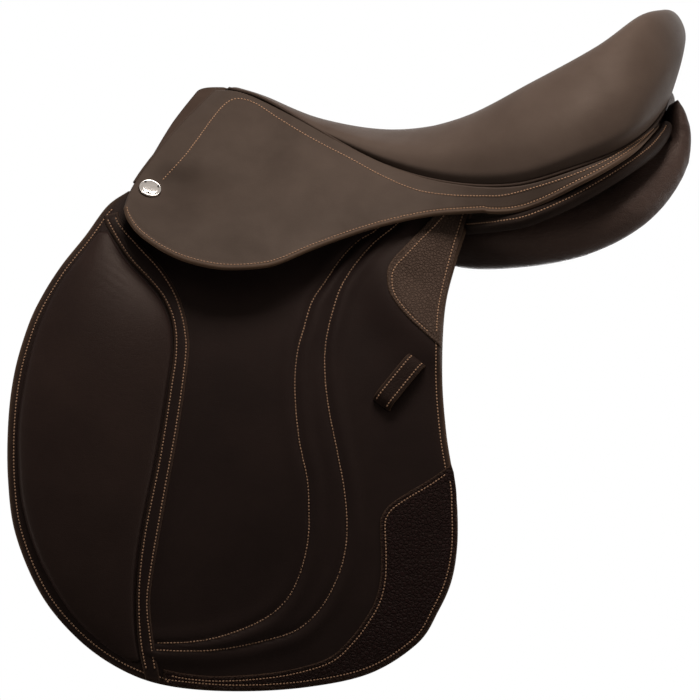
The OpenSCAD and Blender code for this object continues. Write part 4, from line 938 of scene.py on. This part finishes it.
seat_net = np.array([
    [[0.040, 0, 0.633], [0.054, 0.109, 0.627], [0.119, 0.225, 0.581], [0.235, 0.355, 0.435],
     [0.375, 0.551, 0.273], [0.510, 0.754, 0.188], [0.646, 0.920, 0.179], [0.771, 1.000, 0.259],
     [0.875, 0.899, 0.358], [0.942, 0.565, 0.485], [0.973, 0, 0.640]],
    [[0.042, 0, 0.636], [0.056, 0.105, 0.631], [0.121, 0.217, 0.585], [0.237, 0.348, 0.447],
     [0.377, 0.575, 0.311], [0.515, 0.785, 0.245], [0.652, 0.962, 0.254], [0.781, 1.045, 0.353],
     [0.894, 0.945, 0.461], [0.965, 0.594, 0.574], [0.988, 0, 0.715]],
    [[0.046, 0, 0.639], [0.060, 0.094, 0.634], [0.123, 0.192, 0.591], [0.240, 0.312, 0.468],
     [0.381, 0.520, 0.372], [0.523, 0.730, 0.358], [0.665, 0.905, 0.433], [0.798, 0.962, 0.574],
     [0.912, 0.833, 0.687], [0.985, 0.522, 0.780], [1.006, 0, 0.885]],
    [[0.052, 0, 0.640], [0.065, 0.072, 0.637], [0.125, 0.145, 0.595], [0.242, 0.232, 0.485],
     [0.385, 0.362, 0.421], [0.531, 0.536, 0.482], [0.679, 0.681, 0.652], [0.815, 0.696, 0.821],
     [0.908, 0.565, 0.966], [0.964, 0.348, 0.997], [0.984, 0, 0.994]],
    [[0.062, 0, 0.640], [0.071, 0.043, 0.638], [0.127, 0.080, 0.597], [0.242, 0.123, 0.492],
     [0.388, 0.188, 0.439], [0.533, 0.275, 0.487], [0.685, 0.333, 0.612], [0.817, 0.333, 0.762],
     [0.885, 0.275, 0.878], [0.925, 0.159, 0.950], [0.948, 0, 0.984]],
    [[0.070, 0, 0.638], [0.088, 0, 0.627], [0.127, 0, 0.598], [0.242, 0, 0.494], [0.388, 0, 0.442],
     [0.533, 0, 0.482], [0.685, 0, 0.588], [0.800, 0, 0.695], [0.855, 0, 0.775], [0.885, 0, 0.835],
     [0.905, 0, 0.880]]])
OTHER_SIDE = np.array([1.0, -1.0, 1.0])
whole_net = np.concatenate([seat_net, seat_net[:, -2:0:-1] * OTHER_SIDE], 1)
STATIONS, RINGS = whole_net.shape[1], len(seat_net) - 1


def seat_ring(r, q):
    """One ring of the seat's net at places round it."""
    if r < 0:
        return 2 * seat_ring(0, q) - seat_ring(1, q)
    if r > RINGS:
        return seat_ring(2 * RINGS - r, q) * OTHER_SIDE
    j = np.floor(q).astype(int)
    return cubic(*(whole_net[r, (j + k) % STATIONS] for k in (-1, 0, 1, 2)), (q - j)[:, None])


def seat_at(q, v):
    """Places on the seat: q runs round it from the pommel, v from the piping to the middle."""
    i = min(int(math.floor(v)), RINGS - 1)
    return seat_place(cubic(*(seat_ring(i + k, q) for k in (-1, 0, 1, 2)), v - i))


ROUND, RISE = 320, 61
q_all = np.linspace(0, STATIONS, ROUND, endpoint=False)
seat_skin = np.stack([seat_at(q_all, v) for v in np.linspace(0, RINGS, RISE)])


def loop_normals(skin):
    """Normals of a skin of closed rings, outward."""
    round_way = np.roll(skin, -1, 1) - np.roll(skin, 1, 1)
    beyond = np.concatenate([skin, skin[-2:-1] * OTHER_SIDE])
    up_way = np.gradient(beyond, axis=0)[:-1]
    return unit(np.cross(round_way, up_way))


seat_out = loop_normals(seat_skin)
seat_out[-1] = unit(seat_out[-2] + seat_out[-2][(-np.arange(ROUND)) % ROUND] * OTHER_SIDE)
if seat_out[RISE // 2, ROUND // 4, 1] < 0:
    seat_out = -seat_out
SEAT_LEATHER, SEAT_PLAY = 3.0, 0.3


def capped_skin(name, outer, inner, material):
    """A closed skin over the whole seat, sewn together along its middle line."""
    rows, cols = outer.shape[:2]

    def index(first, r):
        c = np.arange(cols)
        return first + r * cols + (c if r < rows - 1 else np.minimum(c, cols - c))

    size = (rows - 1) * cols + cols // 2 + 1
    faces = []
    for first, flip in ((0, False), (size, True)):
        for r in range(rows - 1):
            a, d = index(first, r), index(first, r + 1)
            b, c = np.roll(a, -1), np.roll(d, -1)
            faces.append(np.stack([a, d, c, b] if flip else [a, b, c, d], -1))
    a, d = index(0, 0), index(size, 0)
    faces.append(np.stack([np.roll(a, -1), a, d, np.roll(d, -1)], -1))
    faces = [list(dict.fromkeys(f)) for f in np.concatenate(faces).tolist()]
    faces = [f for f in faces if len(f) > 2]
    flat = [part for g in (outer, inner) for part in (g[:-1].reshape(-1, 3), g[-1, :cols // 2 + 1])]
    return make(name, np.concatenate(flat), faces, material)


seat_leather = leather_finish(
    "seat_leather", (0.042, 0.0272, 0.0200), (0.059, 0.0395, 0.0295),
    pebbles=1300.0, pebble_depth=0.08, creases=0.10, depth=0.00016, rough=(0.42, 0.56), shine=0.07)
seat = capped_skin("seat_cover_leather", seat_skin, seat_skin - SEAT_LEATHER * seat_out, seat_leather)
on_saddle(seat)
stand_in(["seat_cover"])

# The seat's foam: a moulded foam layer under the leather, thin at the sides and full in the
# dip. It is shut in between the leather and the webs.

FOAM_T = 13.0
FOAM_SHARES = [0.30, 0.30, 0.32, 0.34, 0.36, 0.36, 0.36, 0.50, 0.75, 0.95, 1]
foam_share = np.interp(np.linspace(0, 1, RISE), np.linspace(0, 1, len(FOAM_SHARES)), FOAM_SHARES)
foam, foam_shader, foam_tree = finish_of("seat_foam", rough=0.9, shine=0.1)
foam_cells = {"Vector": own_places(foam_tree), "Scale": 900.0}
foam_holes = add(foam_tree, "ShaderNodeTexVoronoi", foam_cells).outputs["Distance"]
colour(foam_tree, foam_shader, foam_holes, (0.35, 0.30, 0.18, 1), (0.68, 0.63, 0.47, 1))
bumped(foam_tree, foam_shader, foam_holes, 0.0006)
pick = slice(6, None, 3)
foam_depth = (SEAT_LEATHER + SEAT_PLAY + FOAM_T * foam_share)[:, None, None]
foam_top = (seat_skin - (SEAT_LEATHER + SEAT_PLAY) * seat_out)[pick, ::4]
foam_low = (seat_skin - foam_depth * seat_out)[pick, ::4]
seat_filling = capped_skin("seat_foam_layer", foam_top, foam_low, foam)
on_saddle(seat_filling)
stand_in(["seat_foam"])

# The piping: a leather cord sewn into the seam between seat and skirts. It runs round the back
# of the seat from one side of the pommel to the other.

WELT_R = 1.3
piping_leather = leather_finish(
    "piping_leather", (0.030, 0.019, 0.014), (0.046, 0.030, 0.022),
    pebbles=1500.0, pebble_depth=0.1, creases=0.2, depth=0.00015)
welt_q = np.linspace(0.9, STATIONS - 0.9, 440)


def edge_out(q):
    """Outward directions of the seat's edge at places round it."""
    return unit(np.stack([np.interp(q, q_all, seat_out[0, :, k], period=STATIONS) for k in range(3)], -1))


welt_out = edge_out(welt_q)
welt_path = seat_at(welt_q, 0.0) + welt_out * (WELT_R + 0.1)
piping = loft("seat_piping", tube_rings(welt_path, WELT_R, 12, welt_out), piping_leather)
on_saddle(piping)
stand_in(["seat_welt"])

# The skirts: smooth leather cut in one with their lobes, sewn to the seat under the piping and
# left free below. A real lobe lifts along a flex line to show the stirrup bar; here each is built
# in a single shape. A thin rolled fold of leather finishes the seam at the front.

SKIRT_T, SKIRT_GAP, SKIRT_FOLD_Z = 3.2, 16.0, 8.0
fold_y = BEND_Y + math.sqrt((BEND_R + SKIRT_GAP) ** 2 - (SKIRT_FOLD_Z - BEND_Z) ** 2)
skirt_front = seat_place([[0.021, 0.078, 0.617], [-0.0729, 0.404, 0.400], [-0.1563, 0.715, 0.160]])
fold_shares = np.array([-0.171, -0.069, 0.035, 0.173, 0.327, 0.502])
skirt_bows = seat_place([
    [0.035, 0.377, 0.442], [-0.015, 0.609, 0.254], [0.131, 0.464, 0.358], [0.087, 0.638, 0.207],
    [0.252, 0.560, 0.262], [0.215, 0.712, 0.150], [0.381, 0.680, 0.169], [0.356, 0.770, 0.106],
    [0.506, 0.800, 0.127], [0.504, 0.825, 0.089]])
skirt_tail = seat_place([[0.650, 0.948, 0.040], [0.790, 1.036, 0.170], [0.890, 0.948, 0.301],
                         [0.944, 0.628, 0.430]])
heads = seat_at(np.array([1.5, 2.5, 3.4, 4.23, 5, 6, 7, 8, 9]), 0.0) + np.array([0, 0.2, -1.8])
folds = np.array([(SEAT_FRONT - share * SEAT_LEN, fold_y, SKIRT_FOLD_Z) for share in fold_shares])
thirds = np.array([0, 1 / 3, 2 / 3, 1])[:, None]
skirt_net = [np.vstack([skirt_front, folds[:1]])]
skirt_net += [np.stack([heads[k], *skirt_bows[2 * k:2 * k + 2], folds[k + 1]]) for k in range(5)]
skirt_net += [heads[k + 5] + (skirt_tail[k] - heads[k + 5]) * thirds for k in range(4)]
skirt_net = np.stack(skirt_net)
lobe_edge = run(seen([
    (122.9, 209), (126, 219), (134, 231), (145, 241), (165, 254), (190, 264.5), (223, 271), (257, 270),
    (279, 265.5), (312, 251.5), (350, 237.5), (379, 228.5), (408, 221.5), (436, 216.8), (462, 214.8),
    (486, 213.6)]), 300)
LOBE_END, LOBE_FLARE, LOBE_DROP = 5.55, 12.0, 47.0
HOLLOW, HOLLOW_LONG, HOLLOW_HIGH = 12.5, 35.0, 18.0
hollow_at = seen((178, 191))
lobe_reach = run([[0.0], [0.188], [0.316], [0.488], [0.690], [0.905], [1.0]], 200)[:, 0]
lobe_steps = np.interp(np.linspace(0, 6, 200), range(7), [0, 1, 2, 3, 4, 5, LOBE_END])
SKIRT_EASE = 36.0


def eased(line, reach, last=160):
    """A line with its kinks eased over a reach, its two ends held."""
    line = resampled(line, np.linspace(0, 1, last + 1))
    gap = np.linalg.norm(np.diff(line, axis=0), axis=1).mean()
    k = max(1, int(round(reach / gap)))
    beside = np.arange(-k, k + 1)
    weight = np.exp(-2 * (beside / k) ** 2)
    spot = np.arange(last + 1)[:, None] + beside[None]
    before, after = (spot < 0)[..., None], (spot > last)[..., None]
    picked = line[np.clip(np.where(spot > last, 2 * last - spot, np.abs(spot)), 0, last)]
    picked = np.where(before, 2 * line[0] - picked, np.where(after, 2 * line[last] - picked, picked))
    return np.sum(picked * weight[None, :, None], 1) / weight.sum()


def over_flap(xz, rise):
    """Places in side view that stand off the flap's bend by a rise."""
    out = np.sqrt((BEND_R + rise) ** 2 - (xz[:, 1] - BEND_Z) ** 2)
    return np.stack([xz[:, 0], BEND_Y + out, xz[:, 1]], -1)


def skirt_columns(t, count):
    """Lines down the skirt, from the piping to its free edge, evenly divided."""
    columns = []
    for k in t:
        top = along(along(skirt_net, np.array([k]))[0], np.linspace(0, 3, 40))
        if k < LOBE_END:
            low = resampled(lobe_edge, [np.interp(k, lobe_steps, np.clip(lobe_reach, 0, 1))])[0]
            start = np.array([top[-1, 0], top[-1, 2]])
            drop = start + (low - start) * np.linspace(0, 1, 30)[1:, None]
            flare = LOBE_FLARE * np.clip((SKIRT_FOLD_Z - drop[:, 1]) / LOBE_DROP, 0, 1) ** 1.6
            lower = over_flap(drop, SKIRT_GAP + flare)
            lower[:, 1] += top[-1, 1] - over_flap(start[None], SKIRT_GAP)[0, 1]
            top = np.vstack([top, lower])
        columns.append(resampled(eased(top, SKIRT_EASE), count))
    grid = np.stack(columns, 1)
    hollow = ridge(grid[..., 0], hollow_at[0], HOLLOW_LONG) * ridge(grid[..., 2], hollow_at[1], HOLLOW_HIGH)
    grid[..., 1] -= HOLLOW * hollow
    return grid


t_all = np.concatenate([[0, 0.003, 0.01, 0.025, 0.045], np.linspace(0.07, 8.95, 220), [8.97, 8.985, 9.0]])
down = dense_ends(54, length=110, rim=SKIRT_T / 2)
skirt_inner = skirt_columns(t_all, down)
skirt_out = unit(np.cross(np.gradient(skirt_inner, axis=0), np.gradient(skirt_inner, axis=1)))
if skirt_out[20, 60, 1] < 0:
    skirt_out = -skirt_out
skirt_rim = rim_distance(skirt_inner)
free_edge = np.linalg.norm(np.diff(skirt_inner, axis=0), axis=-1)
free_edge = np.concatenate([np.cumsum(free_edge[::-1], 0)[::-1], np.zeros((1, free_edge.shape[1]))])
half = round_rim(skirt_rim, SKIRT_T)
SKIRT_BEAD, SKIRT_BEAD_AT, SKIRT_DIP, SKIRT_SEAM, PUCKER = 0.45, 1.9, 0.4, 4.4, 0.3
skirt_rise = SKIRT_BEAD * ridge(free_edge, SKIRT_BEAD_AT, wide=1.0)
skirt_rise -= SKIRT_DIP * ridge(free_edge, SKIRT_SEAM, wide=0.9)
skirt_x = skirt_inner[..., 0]
pucker = PUCKER * ridge(skirt_x, seen((392, 0))[0], wide=16) * ridge(free_edge, 7, wide=6)
skirt_rise += pucker * np.sin(skirt_x * 1.5 + 0.35 * free_edge)
skirt_mid = skirt_inner + skirt_out * SKIRT_T / 2
skirt_leather = leather_finish(
    "skirt_leather", (0.0323, 0.0215, 0.0160), (0.0485, 0.0326, 0.0242),
    pebbles=1200.0, pebble_depth=0.08, creases=0.12, depth=0.00016, rough=(0.46, 0.60), shine=0.05)
upper = skirt_mid + skirt_out * (half + skirt_rise * np.clip(skirt_rim / 1.5, 0, 1))[..., None]
near_skirt = shell("near_skirt_leather", upper, skirt_mid - skirt_out * half[..., None], skirt_leather,
                   worn_edge(free_edge, reach=2.2))
on_skirt = bending()
pair(on_skirt, near_skirt, ["near_skirt", "near_skirt_top"])
skirt_surface = surface_of(near_skirt)


def at_edge_gap(grid):
    """The line of a grid that runs at the stitching's gap from the free edge."""
    return np.stack([[np.interp(SKIRT_SEAM, free_edge[::-1, c], grid[::-1, c, k]) for k in range(3)]
                     for c in range(4, grid.shape[1] - 6)])


skirt_rim_stitching = stitches("near_skirt_rim_stitching", at_edge_gap(upper), at_edge_gap(skirt_out))
pair(on_skirt, skirt_rim_stitching, [])
seam_line = run(seen([
    (162, 180), (183, 157), (196, 140), (212, 117.5), (222, 105.5), (231, 99), (242, 98), (257, 103.5),
    (279, 118), (312, 138), (350, 158), (383, 176), (417, 190), (450, 195), (484, 196), (506, 195),
    (540, 186), (573, 175), (607, 160), (640, 139), (652, 130)]), 500)
pair(on_skirt, stitches("near_skirt_seam_stitching", *laid(skirt_surface, seam_line)), [])

FOLD_R = 1.1
front_fold = skirt_mid[skirt_mid[:, 0, 2] > seen((0, 184))[1], 0]
front_fold = front_fold + np.array([0.3, 0.9, 0.2])
near_fold = loft("near_front_seam_fold", tube_rings(front_fold, FOLD_R, 12), piping_leather)
pair(on_saddle, near_fold, [])

# The studs: plated domed heads on nails through the skirt into the head of the tree, with a
# fine turned ring and three small holes for a pin spanner. The holes are not cut: each is a
# dark disc on the dome, painted shade in place of the hole. Their faces are bare.

STUD_D, STUD_T, STUD_BED, HOLE_AT = 18.4, 2.4, 0.8, 0.72
stud_metal = steel_finish("stud_plate", (0.46, 0.41, 0.365, 1), (0.34, 0.30, 0.27, 1), 900.0,
                          rough=(0.10, 0.18))
# Near-black colour of the spanner holes: painted shade, standing in for the dark inside of each hole.
painted_hole_shade, hole_shade_shader, hole_shade_tree = finish_of("stud_hole_painted_shade", rough=0.7, shine=0.2)
hole_shade_noise = add(hole_shade_tree, "ShaderNodeTexNoise", {"Scale": 800.0}).outputs["Fac"]
colour(hole_shade_tree, hole_shade_shader, hole_shade_noise, (0.010, 0.008, 0.007, 1), (0.03, 0.026, 0.022, 1))
stud_seat, stud_out = (found[0] for found in laid(skirt_surface, [seen((149.6, 189.3))]))
stud_place = stud_seat + stud_out * STUD_BED
stud_u = unit(np.array([1.0, 0, 0]) - stud_out * stud_out[0])
stud_w = np.cross(stud_out, stud_u)
profile = [(0.03, -0.9), (0.94, -0.9), (0.99, -0.35), (1.0, 0.1), (0.985, 0.45), (0.95, 0.66), (0.90, 0.76),
           (0.875, 0.70), (0.85, 0.70), (0.825, 0.80), (0.6, 0.92), (0.3, 0.99), (0.03, 1.0)]


def stud_ring(middle, radius, height, sides):
    """A ring on the stud's face, at a height over it."""
    turn = np.linspace(0, 2 * np.pi, sides, endpoint=False)[:, None]
    return middle + radius * (np.cos(turn) * stud_u + np.sin(turn) * stud_w) + height * stud_out


stud_rings = [stud_ring(stud_place, r * STUD_D / 2, h * STUD_T, 64) for r, h in profile]
near_stud = loft("near_skirt_stud", stud_rings, stud_metal)
pair(on_saddle, near_stud, ["skirt_studs"])
# Each hole is a dark disc laid on the dome: painted shade where a cut hole would be.
for k, angle in enumerate((-0.89, -2.85, 1.32)):
    spot = stud_place + HOLE_AT * STUD_D / 2 * (math.cos(angle) * stud_u + math.sin(angle) * stud_w)
    dots = [stud_ring(spot, r, h, 16) for r, h in ((1.05, 1.2), (1.05, 2.26), (0.9, 2.34))]
    pair(on_saddle, loft(f"near_stud_hole_{k}", dots, painted_hole_shade), [])

# The facings: leather turned over the head of the tree in front and under the cantle behind,
# which close the saddle between the two skirts and between the two panels.

FACING_T, REAR_SWELL, REAR_REACH = 2.0, 8.0, 45.0
facing_rows = seat_place(np.array([
    [[-0.138, 0.666, 0.156], [-0.098, 0.530, 0.280], [-0.034, 0.284, 0.480], [0.050, 0.064, 0.610],
     [0.054, 0, 0.614]],
    [[-0.147, 0.662, 0.161], [-0.108, 0.522, 0.288], [-0.046, 0.270, 0.492], [0.022, 0.046, 0.630],
     [0.034, 0, 0.636]],
    [[-0.154, 0.600, 0.160], [-0.118, 0.470, 0.285], [-0.070, 0.255, 0.468], [-0.024, 0.070, 0.608],
     [-0.022, 0, 0.612]],
    [[-0.140, 0.520, 0.130], [-0.098, 0.375, 0.215], [-0.052, 0.195, 0.370], [-0.030, 0.055, 0.470],
     [-0.028, 0, 0.476]]]))
facing_rows = np.concatenate([facing_rows, facing_rows[:, -2::-1] * OTHER_SIDE], 1)
facing_net = along(np.swapaxes(along(facing_rows, np.linspace(0, 3, 32)), 0, 1), np.linspace(0, 8, 90))
facing_net = np.swapaxes(facing_net, 0, 1)


def faced(name, net, thick, material, node, outward):
    """A thick leather facing from a net of its outer face."""
    out = unit(np.cross(np.gradient(net, axis=0), np.gradient(net, axis=1)))
    inward = np.sum(out[net.shape[0] // 2, net.shape[1] // 2] * outward) <= 0
    out = -out if inward else out
    d = rim_distance(net)
    half = round_rim(d, thick)
    mid = net - out * thick / 2
    first, second = mid + out * half[..., None], mid - out * half[..., None]
    if not inward:
        first, second, d = first[:, ::-1], second[:, ::-1], d[:, ::-1]
    made = shell(name, first, second, material, worn_edge(d, reach=1.5, most=0.6))
    on_saddle(made)
    stand_in([node])


facing_leather = leather_finish(
    "facing_leather", (0.034, 0.021, 0.0155), (0.050, 0.032, 0.0235),
    pebbles=1200.0, pebble_depth=0.08, creases=0.12, depth=0.00016, shine=0.01)
faced("pommel_facing_leather", facing_net, FACING_T, facing_leather, "pommel_facing",
      np.array([1.0, 0, 0.2]))
rear_q = np.linspace(8.5, STATIONS - 8.5, 90)
rear_head = seat_at(rear_q, 0.0) - edge_out(rear_q) * (SEAT_LEATHER + SEAT_PLAY) - np.array([0, 0, 0.6])
rear_foot = rear_head + np.array([0.006 * SEAT_LEN, 0, -0.150 * CANTLE_H])
rear_down = np.linspace(0, 1, 20)[:, None, None]
rear_full = REAR_SWELL * ridge(rear_head[:, 1:2], 0, REAR_REACH) * np.sin(np.pi * rear_down) ** 0.7
rear_net = rear_head + (rear_foot - rear_head) * rear_down - np.array([1.0, 0, 0]) * rear_full
faced("cantle_facing_leather", rear_net, FACING_T, panel_leather, "cantle_facing", np.array([-1.0, 0, 0]))

# The studio: a pale floor under the flaps, a white surround, a long lens square to the near
# side, and soft lamps above, in front, behind and on the off side.

floor_mesh = bpy.data.meshes.new("floor")
floor_z = -0.40
floor_corners = [(x, y, floor_z) for x, y in ((-1.2, -0.8), (1.2, -0.8), (1.2, 0.8), (-1.2, 0.8))]
floor_mesh.from_pydata(floor_corners, [], [(0, 1, 2, 3)])
floor = bpy.data.objects.new("floor", floor_mesh)
bpy.context.scene.collection.objects.link(floor)
pale, pale_shader, pale_tree = finish_of("pale_floor", rough=0.8, shine=0.1)
floor_noise = add(pale_tree, "ShaderNodeTexNoise", {"Scale": 2.0}).outputs["Fac"]
floor_tone = mixed(pale_tree, floor_noise, (0.86, 0.86, 0.86, 1), (0.90, 0.90, 0.90, 1))


def seen_directly(tree):
    """1 on rays from the camera, in reflections and through clear pieces, else 0."""
    rays = add(tree, "ShaderNodeLightPath").outputs
    nearest = math_of(tree, "MAXIMUM", rays["Is Camera Ray"], rays["Is Glossy Ray"])
    return math_of(tree, "MAXIMUM", nearest, rays["Is Transmission Ray"])


colour(pale_tree, pale_shader, seen_directly(pale_tree), (0.10, 0.10, 0.10, 1), floor_tone)
floor_mesh.materials.append(pale)

world = bpy.data.worlds.new("surround")
bpy.context.scene.world = world
world.use_nodes = True
sky = world.node_tree.nodes["Background"]
sky.inputs["Color"].default_value = (1, 1, 1, 1)
sky_level = spread(world.node_tree, seen_directly(world.node_tree), 0.0, 1.0, 0.03, 1.0)
world.node_tree.links.new(sky_level, sky.inputs["Strength"])


def lamp(name, place, target, wide, deep, power):
    """An oblong soft lamp aimed at a place."""
    data = bpy.data.lights.new(name, "AREA")
    data.shape, data.size, data.size_y, data.energy = "RECTANGLE", wide, deep, power
    made = bpy.data.objects.new(name, data)
    made.location = place
    made.rotation_euler = (Vector(target) - Vector(place)).to_track_quat("-Z", "Y").to_euler()
    bpy.context.scene.collection.objects.link(made)


lamp("top_lamp", (-0.03, 0.36, 0.67), (-0.02, 0.12, -0.05), 0.5, 0.25, 10)
lamp("front_lamp", (1.0, 0.30, -0.15), (0.15, 0.15, -0.20), 0.3, 0.5, 3)
lamp("rear_lamp", (-0.80, 0.55, 0.0), (-0.15, 0.10, 0.0), 0.4, 0.4, 2.5)
lamp("back_lamp", (-0.95, -0.25, -0.05), (-0.20, -0.05, 0.0), 0.4, 0.4, 2)
lamp("off_lamp", (0.05, -0.90, -0.05), (0.0, -0.12, -0.10), 0.6, 0.4, 4)

LENS, SENSOR, VIEW_W = 1200.0, 36.0, 0.56
camera_data = bpy.data.cameras.new("side_camera")
camera_data.lens, camera_data.sensor_width, camera_data.clip_end = LENS, SENSOR, 200.0
camera = bpy.data.objects.new("side_camera", camera_data)
middle = seen((350, 350)) * MM
camera.location = (middle[0], VIEW_W * LENS / SENSOR + 0.12, middle[1])
camera.rotation_euler = (math.pi / 2, 0, math.pi)
bpy.context.scene.collection.objects.link(camera)
bpy.context.scene.camera = camera
bpy.context.scene.view_settings.view_transform = "Standard"
